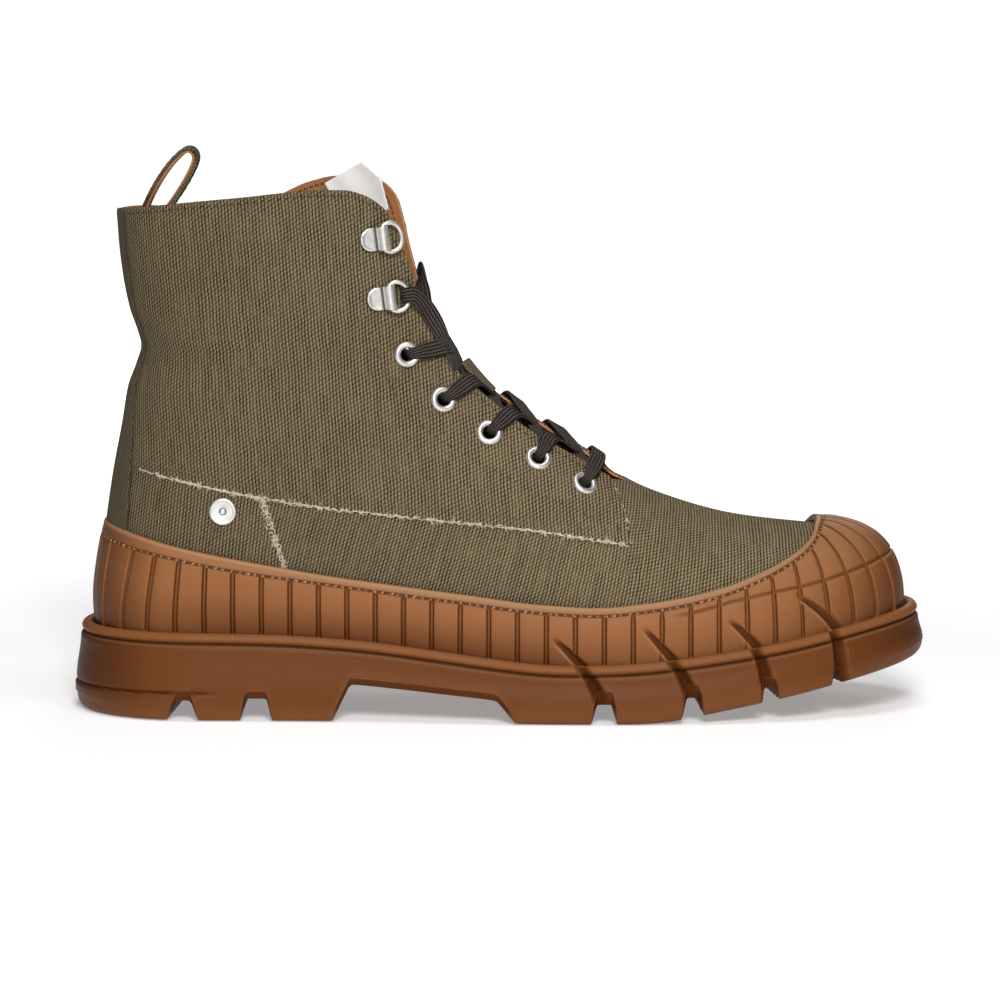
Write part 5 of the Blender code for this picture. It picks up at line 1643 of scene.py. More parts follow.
def make_tongue():
    t = np.concatenate([[-1, -0.985, -0.96], np.linspace(-0.92, 0.92, 33), [0.96, 0.985, 1]])
    s = np.concatenate([np.linspace(0, 0.975, 80), [0.985, 0.993, 1.0]])
    P, N, total = tongue_grid(t, s)
    sink = TONGUE_SINK[0] + TONGUE_SINK[1] * (1 - t ** 2)[None, :] + 6.0 * ease((s - 0.66) / 0.3)[:, None]
    soft = 0.25 * np.sin(s * 31)[:, None] * np.cos(t * 4)[None, :] * ease((s - 0.1) / 0.2)[:, None]
    uv = np.stack(np.broadcast_arrays(t[None, :] * 26.0, (s * total)[:, None]), axis=-1)
    patch = {"points": P, "normals": N, "uv": uv, "high": -sink + soft, "low": -sink - TONGUE_THICK + soft}
    obj = solid_between("tongue_cloth", [patch], [CANVAS_FINE, LINING], inner_mat=1, bevel=0.7)
    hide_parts("tongue")


def make_keeper():
    t = np.linspace(-0.3, 0.3, 25)
    s = np.linspace(0.505, 0.605, 17)
    P, N, total = tongue_grid(t, s)
    sink = TONGUE_SINK[0] + TONGUE_SINK[1] * (1 - t ** 2)[None, :] + 0 * s[:, None]
    bow = 3.3 * np.sin(PI * (t + 0.3) / 0.6)[None, :] ** 0.6
    uv = np.stack(np.broadcast_arrays(t[None, :] * 26.0, (s * total)[:, None]), axis=-1)
    patch = {"points": P, "normals": N, "uv": uv, "high": -sink + 1.05 + bow, "low": -sink + 0.35 + bow}
    obj = solid_between("keeper_strip", [patch], [CANVAS_FINE], bevel=0.2)
    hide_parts("lace_keeper")


# -------------------------------------------------------------------- pull loop
def strap_layer(name, path, inward, half, low, high, mat, rows=15, crown=0.0):
    """Flat strip along a path in the x z plane, between two heights along `inward`."""
    n = len(path)
    w = np.concatenate([[-1, -0.985, -0.93], np.linspace(-0.85, 0.85, rows), [0.93, 0.985, 1]])
    P = np.stack([np.broadcast_to(path[:, None, 0], (n, len(w))), HEEL_Y + half * np.broadcast_to(w, (n, len(w))),
                  np.broadcast_to(path[:, None, 1], (n, len(w)))], axis=-1)
    N = np.broadcast_to(np.stack([inward[:, 0], 0 * inward[:, 0], inward[:, 1]], axis=1)[:, None, :], P.shape)
    run = np.concatenate([[0], np.cumsum(np.linalg.norm(np.diff(path, axis=0), axis=1))])
    uv = np.stack(np.broadcast_arrays(half * w[None, :], run[:, None]), axis=-1)
    patch = {"points": P, "normals": N, "uv": uv, "high": high + crown * (1 - w ** 2)[None, :], "low": low}
    return solid_between(name, [patch], [mat], bevel=0.3)


def make_loop():
    path = smooth_path(LOOP, 150)
    t = np.gradient(path, axis=0)
    t /= np.linalg.norm(t, axis=1, keepdims=True)
    inward = np.stack([t[:, 1], -t[:, 0]], axis=1)          # toward the inside of the loop
    centre = path.mean(axis=0)
    if np.sum((centre - path) * inward) < 0:
        inward = -inward
    outer = strap_layer("loop_canvas", path, -inward, LOOP_WIDTH / 2, -0.12, 1.1, CANVAS_FINE)
    inner = strap_layer("loop_leather", path, inward, LOOP_WIDTH / 2 - 0.25, 0.15, 1.1, LINING)
    for obj in (outer, inner):
        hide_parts("pull_loop")
    for w in (-1, 1):
        line = np.column_stack([path[:, 0] - inward[:, 0] * 1.08, np.full(len(path), HEEL_Y + w * (LOOP_WIDTH / 2 - 2.2)),
                                path[:, 1] - inward[:, 1] * 1.08])
        normal = np.column_stack([-inward[:, 0], np.zeros(len(path)), -inward[:, 1]])
        stitches("loop_stitches_%s" % ("outer" if w < 0 else "inner"), line[6:-6], normal[6:-6], 2.0, 0.8, 0.16, SHADE_THREAD, lift=-0.1)


def make_label():
    up = np.array([-math.sin(LABEL_LEAN), math.cos(LABEL_LEAN)])
    back = np.array([-math.cos(LABEL_LEAN), -math.sin(LABEL_LEAN)])
    nu, nv = 33, 41
    u, v = np.linspace(0, 1, nu), np.linspace(0, 1, nv)
    xz = (np.array(LABEL_CORNER)[None, None, :] + back * LABEL_SIZE[0] * u[:, None, None]
          - up * LABEL_SIZE[1] * v[None, :, None])
    fold = 0.5 * (v / 0.42 + (1 - v) / 0.58 - np.sqrt((v / 0.42 - (1 - v) / 0.58) ** 2 + 0.02))
    xz = xz + np.array([3.1, 1.2]) * (fold[None, :] * (1 - u)[:, None])[..., None]
    x, z = xz[..., 0], xz[..., 1]
    y = centre_y(x) + half_width(x, np.minimum(z, 190.0), 1) - LABEL_SINK
    curl = -1.6 * np.clip((u[:, None] - 0.72) / 0.28, 0, 1) ** 2 * (1 - 0.3 * v[None, :])
    wave = 0.5 * np.sin(2.2 * PI * u)[:, None] * np.cos(1.4 * v)[None, :]
    P = np.stack([x, y + curl + wave, z], axis=-1)
    N = np.cross(np.gradient(P, axis=0), np.gradient(P, axis=1))
    N /= np.linalg.norm(N, axis=2, keepdims=True)
    uv = np.stack(np.broadcast_arrays(u[:, None] * LABEL_SIZE[0], v[None, :] * LABEL_SIZE[1]), axis=-1)
    patch = {"points": P, "normals": N, "uv": uv, "high": 0.2, "low": -0.2}
    obj = solid_between("plain_label", [patch], [COTTON], bevel=0.08)
    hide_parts("sewn_label")


# ---------------------------------------------------------------------- hardware
def arc(cx, cy, r, start, end, count):
    a = np.radians(np.linspace(start, end, count))
    return [(cx + r * math.cos(v), cy + r * math.sin(v)) for v in a]


def make_eyelets():
    profile = ([(2.55, -2.6), (2.45, -1.2), (2.45, 0.2)] + [(2.45 + 1.15 * (1 - math.cos(t)), 0.55 + 0.95 * math.sin(t))
               for t in np.linspace(0.1, PI / 2, 9)]
               + [(3.6 + 1.15 * math.sin(t), 1.5 - 1.25 * (1 - math.cos(t))) for t in np.linspace(0.15, PI / 2, 9)]
               + [(4.7, 0.12), (4.4, 0.08), (3.1, 0.05), (3.0, -1.0), (3.0, -2.6), (2.55, -2.6)])
    for side, word in ((-1, "lateral"), (1, "medial")):
        for number, (x, z) in enumerate(EYELETS):
            node = "eyelet_%s_%d" % (word, number + 1)
            obj = lathe("ring_" + node, profile, face_point(x, z, side), face_normal(x, z, side), NICKEL, 56)
            obj.data.materials.append(NICKEL_SHADE)
            centre = Vector(face_point(x, z, side) * MM)
            axis = Vector(face_normal(x, z, side))
            # faces inside the barrel get the dark nickel: painted shade in the hole
            for face in obj.data.polygons:
                from_axis = face.center - centre
                up = from_axis.dot(axis)
                if up < 0.0006 and (from_axis - axis * up).length < 0.00262:
                    face.material_index = 1
            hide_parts(node)


def make_rivet():
    x, z = RIVET
    profile = [(0.0, 1.5), (0.45, 1.49), (0.8, 1.4), (1.0, 1.24), (1.15, 1.14), (1.4, 1.14), (1.65, 1.2), (2.2, 1.23), (2.8, 1.25),
               (3.4, 1.26), (3.7, 1.28), (3.95, 1.38), (4.25, 1.46), (4.55, 1.42), (4.8, 1.2), (4.92, 0.8), (4.88, 0.35),
               (4.6, 0.1), (2.0, -0.2), (0.0, -0.2)]
    place, axis = face_point(x, z, -1) - 0.25 * face_normal(x, z, -1), face_normal(x, z, -1)
    obj = lathe("heel_button", profile, face_point(x, z, -1) - 0.25 * face_normal(x, z, -1), face_normal(x, z, -1), NICKEL, 72)
    obj.data.materials.append(NICKEL_FLAT)
    obj.data.materials.append(NICKEL_SHADE)
    # the ring groove between r 1.0 and 1.3 gets the dark nickel, painted shade in the recess; the flat annulus gets
    # worn nickel
    for face in obj.data.polygons:
        q = np.array(face.center) / MM - place
        up = float(q @ axis)
        r = float(np.linalg.norm(q - axis * up))
        if up > 0.5:
            face.material_index = 2 if 1.0 < r < 1.3 else 1 if 1.3 < r < 3.85 else 0
    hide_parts("heel_rivet")


CLIP_LONG, CLIP_TALL = 8.2, 8.6
BARREL_HEIGHT, WIRE = 2.7, 0.85
RING_REACH, RING_TALL = 7.0, 10.6


def ring_frame(x, z, side):
    n = face_normal(x, z, side)
    up = np.array([math.sin(RING_LEAN), 0.0, math.cos(RING_LEAN)])
    up = up - n * np.dot(up, n)
    up /= np.linalg.norm(up)
    ahead = np.cross(up, n)
    if ahead[0] < 0:
        ahead = -ahead
    return face_point(x, z, side) + n * BARREL_HEIGHT, ahead, up, n


def make_clips():
    half = CLIP_TALL / 2
    round_end = [half * 0.95 * (1 - math.cos(t)) for t in np.linspace(0, PI / 2, 11)]
    line = [(-CLIP_LONG + d, -1.8) for d in round_end] + [(-3.6, -1.8), (-3.15, -1.82), (-2.75, -1.95), (-2.4, -2.05)]
    crease_from = len(line) - 2
    line += [(-2.05, -1.75), (-1.9, -1.1), (-1.85, -0.5)]
    crease_to = len(line) - 1
    line += [(1.72 * math.cos(t), 1.72 * math.sin(t)) for t in np.radians(np.linspace(178, -80, 24))]
    line = np.array(line)
    t = np.gradient(line, axis=0)
    t /= np.linalg.norm(t, axis=1, keepdims=True)
    nn = np.stack([-t[:, 1], t[:, 0]], axis=1)
    w = np.concatenate([[-1, -0.975, -0.93, -0.87], np.linspace(-0.8, 0.8, 15), [0.87, 0.93, 0.975, 1]])
    tall = np.full(len(line), half)
    tall[:11] = half * np.sin(np.linspace(0, PI / 2, 11)) * 0.98
    tall[0] = 0.02
    tall[11:crease_to] = half * 0.97
    flat = line[:, 0] < -2.9
    for side, word in ((-1, "lateral"), (1, "medial")):
        for level, x, z in RINGS:
            bar, ahead, up, n = ring_frame(x, z, side)
            P = bar + line[:, None, 0, None] * ahead + line[:, None, 1, None] * n + (tall[:, None] * w[None, :])[..., None] * up
            N = nn[:, None, 0, None] * ahead + nn[:, None, 1, None] * n + 0 * w[None, :, None]
            # distance in from the plate's edge, for its raised rim
            inset = np.minimum((1 - np.abs(w))[None, :] * tall[:, None], (line[:, 0] + CLIP_LONG)[:, None] * 0.9)
            rim = np.where(flat[:, None], 0.2 * np.exp(-((inset - 0.6) / 0.42) ** 2), 0.0)
            uv = np.stack(np.broadcast_arrays(w[None, :] * half, np.arange(len(line))[:, None] * 0.5), axis=-1)
            patch = {"points": P, "normals": N, "uv": uv, "high": 0.42 + rim, "low": -0.38}
            obj = solid_between("plate_clip_%s_%s" % (word, level), [patch], [NICKEL, NICKEL_FLAT, NICKEL_SHADE], bevel=0.25)
            # the crease between plate and barrel gets the dark nickel: painted shade
            for face in obj.data.polygons:
                q = np.array(face.center) / MM - bar
                d, rise, across = float(q @ ahead), float(q @ n), float(q @ up)
                if -2.75 < d < -1.75 and rise < -0.35:
                    face.material_index = 2
                elif d < -2.75 and rise > -1.7:
                    far = math.hypot(min(0.0, d + CLIP_LONG - half), across)
                    if far < half - 1.25:
                        face.material_index = 1
            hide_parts("clip_%s_%s" % (word, level))


def make_rings():
    for side, word in ((-1, "lateral"), (1, "medial")):
        for level, x, z in RINGS:
            bar, ahead, up, n = ring_frame(x, z, side)
            bow = RING_REACH / 2
            path = [(0.0, v) for v in np.linspace(-CLIP_TALL / 2 - 0.1, CLIP_TALL / 2 + 0.1, 8)]
            for a in np.linspace(PI / 2, -PI / 2, 33):
                path.append((bow * 0.55 + (RING_REACH - bow * 0.55) * max(0.0, math.cos(a)) ** 0.8,
                             RING_TALL / 2 * math.sin(a)))
            path.append(path[0])
            p = np.array(path)
            run = np.concatenate([[0], np.cumsum(np.linalg.norm(np.diff(p, axis=0), axis=1))])
            even = np.linspace(0, run[-1], 97)[:-1]
            p = np.stack([np.interp(even, run, p[:, k]) for k in range(2)], axis=1)
            for _ in range(5):
                p = 0.25 * np.roll(p, 1, axis=0) + 0.5 * p + 0.25 * np.roll(p, -1, axis=0)
            P = bar + p[:, :1] * ahead + p[:, 1:] * up
            t = np.roll(P, -1, axis=0) - np.roll(P, 1, axis=0)
            t /= np.linalg.norm(t, axis=1, keepdims=True)
            u = np.cross(n, t)
            sides = 14
            ang = 2 * PI * np.arange(sides + 1) / sides
            ring = P[:, None, :] + WIRE * (np.cos(ang)[None, :, None] * u[:, None, :] + np.sin(ang)[None, :, None] * n)
            uv = np.stack(np.broadcast_arrays(ang[None, :] / (2 * PI), even[:, None]), axis=-1).reshape(-1, 2)
            body = "boot" if level == "lower" else "ring_" + word
            obj = make_object("d_ring_%s_%s" % (word, level), ring.reshape(-1, 3), quads(96, sides + 1, wrap=True),
                              [NICKEL], uv=uv, weld=1e-4, body=body)
            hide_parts("ring_%s_%s" % (word, level))


# -------------------------------------------------------------------------- lace
def edge_near(x, z, side=-1):
    xs = np.linspace(-40, THROAT_X - 0.5, 1200)
    zs = collar_z(xs, side)
    k = int(np.argmin((xs - x) ** 2 + (zs - z) ** 2))
    return xs[k], float(zs[k])


def throat_way(x):
    t = np.array([1.0, 0.0, float(edge_z(x + 1) - edge_z(x - 1)) / 2])
    return t / np.linalg.norm(t)


def crest_way(x, z, side):
    out = face_normal(x, z, side)
    c = np.array([out[0], 0.0, out[2]])
    return c / np.linalg.norm(c)


LACE_ROWS = EYELETS + [(RINGS[0][1] + 6.5, RINGS[0][2] - 0.5)]
LACE_SLIDE = [0.0, 0.0, 2.0, 3.0, 4.0]        # how far down the throat each run crosses its edge


def lace_edge(row, side):
    """Place where a row's run crosses the throat edge."""
    x, z = edge_near(*LACE_ROWS[row], side)
    xs = np.linspace(x, THROAT_X - 0.5, 400)
    zs = collar_z(xs, side)
    run = np.concatenate([[0], np.cumsum(np.hypot(np.diff(xs), np.diff(zs)))])
    at = float(np.interp(LACE_SLIDE[row], run, xs))
    return at, float(collar_z(at, side))


def lace_entry(row, side):
    """Points from the throat edge down through the eyelet of a row, with across
    directions and width shares."""
    x, z = LACE_ROWS[row]
    ex, ez = lace_edge(row, side)
    way = throat_way(ex)
    d = np.array([ex - x, ez - z])
    gap = np.linalg.norm(d)
    u = d / gap
    out = [(off_face(ex, ez, side, 1.35), way, 1.0)]
    for far, height, share in ((gap * 0.62, 1.5, 1.0), (4.3, 2.35, 0.88), (2.3, 1.85, 0.68), (1.15, 0.2, 0.56),
                               (0.9, -2.8, 0.56)):
        q = np.array([x, z]) + u * far
        out.append((off_face(q[0], q[1], side, height), way, share))
    return out


def lace_exit(row, side):
    """Points from inside the eyelet of a row, under the canvas, to beneath the throat edge."""
    x, z = LACE_ROWS[row]
    ex, ez = edge_near(x, z, side)
    way = throat_way(ex)
    d = np.array([ex - x, ez - z])
    q = np.array([x, z]) + d * 0.45
    return [(off_face(q[0], q[1], side, -3.6), way, 0.8),
            (off_face(ex, ez, side, -3.4), way, 0.95)]


def lace_by_edge(x, side, height, rise):
    """Point by a throat edge: off the face, and beyond the edge in the side view."""
    z = float(collar_z(x, side))
    return off_face(x, z, side, height) + crest_way(x, z, side) * rise


def lace_to_ring(side):
    """Through the lower ring from ahead and round its bow."""
    bar, ahead, up, nn = ring_frame(RINGS[0][1], RINGS[0][2], side)
    bow = bar + ahead * RING_REACH
    return [(bow + nn * 1.75 + ahead * 1.0, up, 0.95),
            (bow + nn * 1.6 - ahead * 0.6, up, 0.9),
            (bow + nn * 0.5 - ahead * 1.9, up, 0.86),
            (bow - nn * 1.0 - ahead * 1.7, up, 0.86),
            (bow - nn * 1.65 + ahead * 0.2, up, 0.9)]


def lace_top(side):
    """The two top runs: the inner one rolls over the inner edge and drops behind the outer
    edge; the outer one lies along the outer edge before it drops in."""
    up = ring_frame(RINGS[0][1], RINGS[0][2], side)[2]
    out = crest_way(-23.0, float(edge_z(-23.0)), -1)
    turned = 0.5 * out + np.array([0.0, 0.87, 0.0])
    pts = lace_exit(4, -side)
    if side > 0:
        near, far = lace_by_edge(-28.6, -1, 0.0, 0.0), lace_by_edge(-29.0, 1, 0.0, 0.0)
        pts += [(lace_by_edge(-24.8, -1, -3.0, 0.6), out, 1.0),
                (0.72 * near + 0.28 * far + out * 0.5, out, 1.0),
                (0.35 * near + 0.65 * far + out * 0.2 + up * 3.6, 0.7 * out + 0.5 * up, 1.0),
                (lace_by_edge(-30.8, 1, 1.7, 0.3), up, 1.0)]
    else:
        pts += [(0.5 * (pts[-1][0] + lace_by_edge(-14.0, -1, -4.2, -1.0)), throat_way(-16.0), 0.95),
                (lace_by_edge(-14.2, -1, -3.4, -0.4), turned, 0.9),
                (lace_by_edge(-16.6, -1, -1.0, 1.0), turned, 0.9),
                (lace_by_edge(-20.2, -1, 0.0, 1.5), turned, 0.9),
                (lace_by_edge(-23.8, -1, 0.7, 1.4), 0.8 * out + np.array([0.0, 0.5, 0.0]), 1.0),
                (lace_by_edge(-26.6, -1, 1.7, 0.2), 0.6 * out + 0.5 * up, 1.0)]
    return pts + lace_to_ring(side)


def lace_cross(row, side):
    """Whole run from inside row-1 on the other side, across the throat, into `row` on `side`."""
    if row == 5:
        return lace_top(side)
    rise = 0.6 if side < 0 else 1.9
    pts = lace_exit(row - 1, -side)
    entry = lace_entry(row, side)
    a, b = pts[-1][0], entry[0][0]
    ex, ez = lace_edge(row, side)
    lx, lz = edge_near(*LACE_ROWS[row - 1], -side)
    crest = crest_way((ex + lx) / 2, (ez + lz) / 2, side)
    way = throat_way((ex + lx) / 2)
    pts.append((a * 0.72 + b * 0.28 + crest * (0.4 + 0.4 * rise), way, 1.0))
    pts.append(((a + b) / 2 + crest * rise, way, 1.0))
    pts.append((a * 0.25 + b * 0.75 + crest * (0.9 + 0.35 * rise), way, 1.0))
    return pts + entry


def ribbon(name, pts, count_per_mm=1.6, ends=True):
    """Flat lace along points with across directions and width shares."""
    P = np.array([p[0] for p in pts])
    W = np.array([p[1] for p in pts])
    for i in range(1, len(W)):
        if np.dot(W[i], W[i - 1]) < 0:
            W[i] = -W[i]
    S = np.array([p[2] for p in pts])
    rough = smooth_path(P, 60)
    size = np.sum(np.linalg.norm(np.diff(rough, axis=0), axis=1))
    path = smooth_path(P, max(24, int(size * count_per_mm)))
    # carry across and width along by nearest share of chord length
    run_q = np.concatenate([[0], np.cumsum(np.linalg.norm(np.diff(path, axis=0), axis=1))])
    marks = [0.0]
    at = 0
    for i in range(1, len(P)):
        lo = at
        j = lo + int(np.argmin(np.linalg.norm(path[lo:] - P[i], axis=1))) if i < len(P) - 1 else len(path) - 1
        at = max(lo, j)
        marks.append(run_q[at] + 1e-6 * i)
    marks = np.maximum.accumulate(np.array(marks) + np.arange(len(P)) * 1e-6)
    A = np.stack([np.interp(run_q, marks, W[:, m]) for m in range(3)], axis=1)
    share = np.interp(run_q, marks, S)
    for _ in range(6):
        A[1:-1] = 0.25 * A[:-2] + 0.5 * A[1:-1] + 0.25 * A[2:]
        share[1:-1] = 0.25 * share[:-2] + 0.5 * share[1:-1] + 0.25 * share[2:]
    t = np.gradient(path, axis=0)
    t /= np.linalg.norm(t, axis=1, keepdims=True)
    A = A - t * np.sum(A * t, axis=1, keepdims=True)
    A /= np.linalg.norm(A, axis=1, keepdims=True)
    up = np.cross(t, A)
    # ribbed cross section: top and bottom ribs, round edges
    k = 21
    w = np.linspace(-1, 1, k)
    ribs = 0.27 * np.abs(np.sin(PI * (w + 1) / 2 * 5)) ** 0.7
    shell = np.sqrt(np.clip(1 - np.abs(w) ** 8, 0, 1))
    top = (LACE_THICK / 2 - 0.2 + ribs) * shell
    sec_w = np.concatenate([w, w[::-1][1:-1]])
    sec_h = np.concatenate([top, -top[::-1][1:-1]])
    half = LACE_WIDTH / 2
    bunch = 1 + 0.55 * (1 - share)
    verts = (path[:, None, :] + A[:, None, :] * (half * share[:, None] * sec_w[None, :])[..., None]
             + up[:, None, :] * (sec_h[None, :] * bunch[:, None])[..., None])
    n, m = verts.shape[:2]
    ring = np.concatenate([verts, verts[:, :1]], axis=1)
    u = np.concatenate([sec_w, sec_w[:1]]) * half
    uv = np.stack(np.broadcast_arrays(u[None, :] + 20.0, run_q[:, None]), axis=-1).reshape(-1, 2)
    f = quads(n, m + 1).tolist()
    f.append(list(range(m))[::-1])
    f.append([(n - 1) * (m + 1) + q for q in range(m)])
    obj = make_object(name, ring.reshape(-1, 3), [np.array(v) for v in f], [LACE], uv=uv, weld=1e-4)
    return obj, run_q[-1]


def make_lace():
    total = 0.0
    # bar between the lowest eyelets, outside
    left, right = lace_entry(0, -1), lace_entry(0, 1)
    ex, ez = edge_near(*LACE_ROWS[0])
    crest = crest_way(ex, ez, -1)
    way = throat_way(ex)
    mid = (left[0][0] + right[0][0]) / 2 + crest * 1.6
    pts = left[::-1] + [((left[0][0] * 0.6 + right[0][0] * 0.4) + crest * 1.5, way, 1.0), (mid, way, 1.0),
                        ((left[0][0] * 0.4 + right[0][0] * 0.6) + crest * 1.5, way, 1.0)] + right
    obj, size = ribbon("lace_bottom_bar", pts)
    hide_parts("lace_bar")
    total += size
    for row in range(1, len(LACE_ROWS)):
        for side, word in ((-1, "lateral"), (1, "medial")):
            obj, size = ribbon("lace_run_%d_%s" % (row, word), lace_cross(row, side))
            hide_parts("lace_cross_%d" % row)
            total += size
    return total


# ------------------------------------------------------------ seams and frayed edges
def face_line(xs, zs, side, height):
    """Points and normals on the face, at true x and z."""
    s = section_of(xs, zs)
    a = angle_at(s, zs, side)
    P, N = surface(s, a), surface_normal(s, a)
    return P + N * (height + crease(P, side))[:, None], N


def make_fringe():
    for side, word in ((-1, "lateral"), (1, "medial")):
        # lower edge, front edge and heel seam as lines in the side view, with outward way
        xs = np.linspace(-131.0, 47.3, 700)
        low = np.column_stack([xs, panel_z(xs)])
        zz = np.linspace(62.9, 84.0, 90)
        front = np.column_stack([panel_front_x(zz), zz])
        zs = np.linspace(54.0, 81.5, 120)
        seam = np.column_stack([heel_seam_x(zs), zs])
        sets = [(low, 0.0, 1.0, 1.15), (front, 0.0, 0.3, 0.7), (seam, -0.30, 1.0, 1.9)]
        threads, thread_r, fibres, fibre_r = [], [], [], []
        for line, height, much, wide in sets:
            run = np.concatenate([[0], np.cumsum(np.linalg.norm(np.diff(line, axis=0), axis=1))])
            t = np.gradient(line, axis=0)
            t /= np.linalg.norm(t, axis=1, keepdims=True)
            out = np.column_stack([t[:, 1], -t[:, 0]])       # below the lower edge, ahead of the others
            total = run[-1]

            def spot(c, off, lift):
                q = np.column_stack([np.interp(c, run, line[:, 0]), np.interp(c, run, line[:, 1])])
                o = np.column_stack([np.interp(c, run, out[:, 0]), np.interp(c, run, out[:, 1])])
                q = q + o * np.asarray(off)[:, None]
                P, _ = face_line(q[:, 0], q[:, 1], side, 0.0)
                return P + _ * np.asarray(lift)[:, None]

            # threads that run along the raw edge
            strands = 3 if wide > 1.5 else 2 if much > 0.9 else 1
            for strand in range(strands):
                c = np.arange(0, total, 0.6)
                phase = rng.uniform(0, 6)
                off = wide * (0.30 * strand - 0.12 + 0.16 * np.sin(c * (1.3 + 0.4 * strand) + phase) + rng.normal(0, 0.12, len(c)))
                lift = height - 0.06 + 0.12 * np.cos(c * (1.7 - 0.3 * strand) + phase) - 0.10 * strand + rng.normal(0, 0.05, len(c))
                P = spot(c, off, lift)
                for i in [*range(0, len(P) - 12, 11), len(P) - 12]:
                    if rng.uniform() < (0.9 if much > 0.9 else 0.5):
                        threads.append(P[i:i + 12])
                        thread_r.append((0.19 if strand else 0.23) * much ** 0.5 * rng.uniform(0.6, 1.35, 12))
            # small tufts of short ends, one every few yarns
            pitch = 1.9 / max(wide, 0.9)
            centre = np.arange(0.4, total - 0.3, pitch)
            centre = centre + rng.normal(0, 0.28 * pitch, len(centre))
            full = rng.uniform(0.35, 1.25, len(centre)) * np.where(rng.uniform(size=len(centre)) < 0.12, 1.7, 1.0)
            per = np.maximum(1, np.round(6.5 * full * much).astype(int))
            c0 = np.repeat(centre, per)
            count = len(c0)
            c = c0 + rng.normal(0, 0.20, count)
            size = np.clip(rng.gamma(4.0, 0.24, count) * (0.6 + 0.5 * np.repeat(full, per)), 0.35, 2.0) * wide ** 0.6
            lean = rng.normal(0.0, 0.9, count)
            curl = rng.uniform(-1.8, 1.8, count)
            k = 4
            f = np.linspace(0, 1, k)
            grid = []
            root = rng.normal(-0.12, 0.24, count) * wide
            puff = rng.uniform(0.2, 0.6, count) * np.minimum(size, 1.0)
            for j in range(k):
                turn = lean + curl * f[j]
                grid.append(spot(np.clip(c + size * f[j] * np.sin(turn) * 0.7, 0.05, total - 0.05),
                                 root + size * f[j] * np.cos(turn) * 0.8,
                                 height - 0.1 + puff * np.sin(PI * min(1.0, 0.15 + 0.75 * f[j]))))
            fibres.append(np.stack(grid, axis=1))
            fibre_r.append((0.17 * (1 - 0.45 * f))[None, :] * rng.uniform(0.7, 1.4, (count, 1)))
        obj = tubes("raw_edge_threads_" + word, np.array(threads), np.array(thread_r), 6, CREAM_THREAD)
        obj = tubes("raw_edge_ends_" + word, np.vstack(fibres), np.vstack(fibre_r), 4, CREAM_THREAD)


def make_seams():
    for side, word in ((-1, "lateral"), (1, "medial")):
        # rows above the raw lower edge of the quarter
        xs = np.linspace(-128.5, 42.5, 900)
        for k, rise in enumerate((3.6,)):
            P, N = face_line(xs, panel_z(xs) + rise, side, 0.15)
            stitches("quarter_stitches_%d_%s" % (k, word), P, N, 2.3, 0.9, 0.2, OLIVE_THREAD, lift=0.02)
        zz = np.linspace(67.0, 84.0, 140)
        P, N = face_line(panel_front_x(zz) - 3.4, zz, side, 0.15)
        stitches("front_stitches_" + word, P, N, 2.3, 0.9, 0.2, OLIVE_THREAD, lift=0.02)
        # collar and throat topstitch, in from the edge
        s = np.concatenate([np.linspace(s_of_run(STRIP_RUN + 1.0, side), -37, 420), np.linspace(-36.9, 38.0, 420)])
        e = np.stack([s, collar_z(s, side)], axis=1)
        t = np.gradient(e, axis=0)
        t /= np.linalg.norm(t, axis=1, keepdims=True)
        inner = e + np.column_stack([t[:, 1], -t[:, 0]]) * 2.1
        a = angle_at(inner[:, 0], inner[:, 1], side)
        P, N = surface(inner[:, 0], a), surface_normal(inner[:, 0], a)
        stitches("collar_stitches_" + word, P + N * (0.15 + crease(P, side))[:, None], N, 1.3, 1.5, 0.24, SHADE_THREAD, lift=-0.08)
        # the same seam on the lining
        stitches("lining_stitches_" + word, P + N * (-WALL + crease(P, side))[:, None], -N, 1.5, 0.7, 0.26, BROWN_THREAD, lift=0.03)
        # edge of the back strip: a dark tube along it is a painted shadow line where the strip stands on the quarter
        S, A = strip_grid(side, np.array([1.0]), 300)
        P, N = surface(S[0], A[0]), surface_normal(S[0], A[0])
        seam = (P + N * (0.28 + crease(P, side))[:, None])[None, 12:-2]
        obj = tubes("strip_edge_painted_shadow_" + word, seam, np.full(seam.shape[:2], 0.34), 6, SHADE_THREAD)
        # seam of the eyelet facing, behind the eyelets
        line = smooth_path(FACING, 500)
        P, N = face_line(line[:, 0], line[:, 1], side, 0.15)
        stitches("facing_stitches_" + word, P, N, 0.8, 2.2, 0.22, SHADE_THREAD, lift=-0.10)


make_outsole()
make_shell()
make_lower()
make_lining()
make_quarters()
make_heel_panels()
make_back_strip()
make_insole()
make_tongue()
make_keeper()
make_loop()
make_label()
make_eyelets()
make_rivet()
make_clips()
make_rings()
LACE_LENGTH = make_lace()
make_fringe()
make_seams()


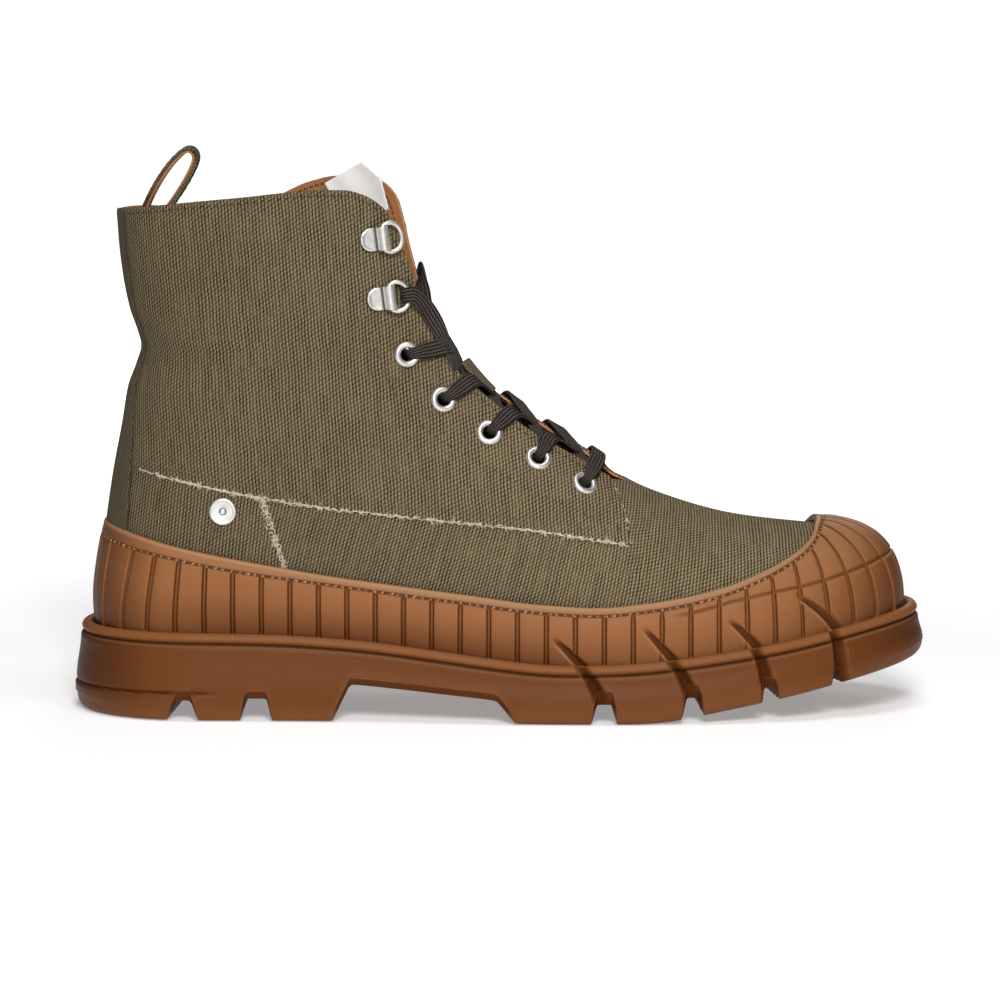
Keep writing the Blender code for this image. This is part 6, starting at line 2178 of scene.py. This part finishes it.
# ------------------------------------------------------------------ stage and light
def make_stage():
    """Pale floor that runs out to white. It glows as painted light, faintly near the boot, which leaves a painted
    contact shadow, and more further out; off to the sides it is grey and dimmer.
    """
    radii = [0.0, 0.2, 0.4, 0.6, 0.9, 1.3, 2.0, 4.0, 10.0, 30.0, 90.0]
    sides = 48
    verts, faces = [(0.0, 0.0, -0.0002)], []
    for r in radii[1:]:
        for k in range(sides):
            a = 2 * PI * k / sides
            verts.append((r * math.cos(a), r * math.sin(a), -0.0002))
    for k in range(sides):
        faces.append([0, 1 + k, 1 + (k + 1) % sides])
    for i in range(len(radii) - 2):
        p, q = 1 + i * sides, 1 + (i + 1) * sides
        for k in range(sides):
            n = (k + 1) % sides
            faces.append([p + k, q + k, q + n, p + n])
    mesh = bpy.data.meshes.new("floor")
    mesh.from_pydata(verts, [], faces)
    m = Nodes("pale_floor")
    co = m.node("ShaderNodeTexCoord").outputs["Object"]
    far = m.node("ShaderNodeVectorMath", operation='LENGTH')
    m.link(co, far.inputs[0])
    x, y = m.split(co)
    aside = m.math('DIVIDE', m.math('ABSOLUTE', x), m.math('MAXIMUM', m.math('ADD', y, 2.6), 0.5))
    lane = m.ramp(aside, 0.13, 0.30, 1.0, 0.15)
    # painted light: the floor glows, weakly near the boot as a painted contact shadow, fully far off, and hardly at all
    # in the side lanes
    glow = m.math('MULTIPLY', m.ramp(far.outputs["Value"], 0.25, 1.1, FLOOR_NEAR, FLOOR_FAR), lane)
    m.set(Base_Color=m.mix(lane, (0.30, 0.30, 0.30), (0.92, 0.92, 0.92)), Roughness=0.95, Emission_Strength=glow)
    m.shader.inputs["Specular IOR Level"].default_value = 0.05
    m.shader.inputs["Emission Color"].default_value = (1, 1, 1, 1)
    mesh.materials.append(m.mat)
    obj = bpy.data.objects.new("floor", mesh)
    bpy.context.scene.collection.objects.link(obj)


# glow of the floor near the boot and far from it: the weak glow near the boot leaves a painted contact shadow
FLOOR_NEAR, FLOOR_FAR = 0.30, 1.02


def area_light(name, place, aim, size, power, colour=(1, 1, 1), tall=None):
    light = bpy.data.lights.new(name, 'AREA')
    light.shape = 'RECTANGLE'
    light.size, light.size_y = size, tall or size
    light.energy = power
    light.color = colour
    obj = bpy.data.objects.new(name, light)
    obj.location = place
    way = Vector(aim) - Vector(place)
    obj.rotation_euler = way.to_track_quat('-Z', 'Y').to_euler()
    bpy.context.scene.collection.objects.link(obj)


def make_light():
    scene = bpy.context.scene
    world = bpy.data.worlds.new("studio")
    scene.world = world
    world.use_nodes = True
    back = world.node_tree.nodes["Background"]
    back.inputs[0].default_value = (1.0, 1.0, 1.0, 1.0)
    back.inputs[1].default_value = 0.06
    area_light("key", (0.12, -2.2, 1.42), (0.02, 0, 0.09), 0.7, 50, tall=0.7)
    area_light("top", (0.15, -0.45, 1.9), (0.03, 0, 0.05), 0.8, 11)
    area_light("back", (0.3, 1.9, 1.1), (0, 0, 0.1), 1.0, 7)
    scene.view_settings.view_transform = 'Standard'
    scene.view_settings.look = 'None'
    camera = bpy.data.cameras.new("camera")
    camera.lens = 171.5
    camera.sensor_width = 36.0
    camera.clip_end = 50.0
    obj = bpy.data.objects.new("camera", camera)
    obj.location = (0.0, -1.75, 0.27)
    obj.rotation_euler = (math.radians(83.65), 0.0, 0.0)
    scene.collection.objects.link(obj)
    scene.camera = obj


make_stage()
make_light()
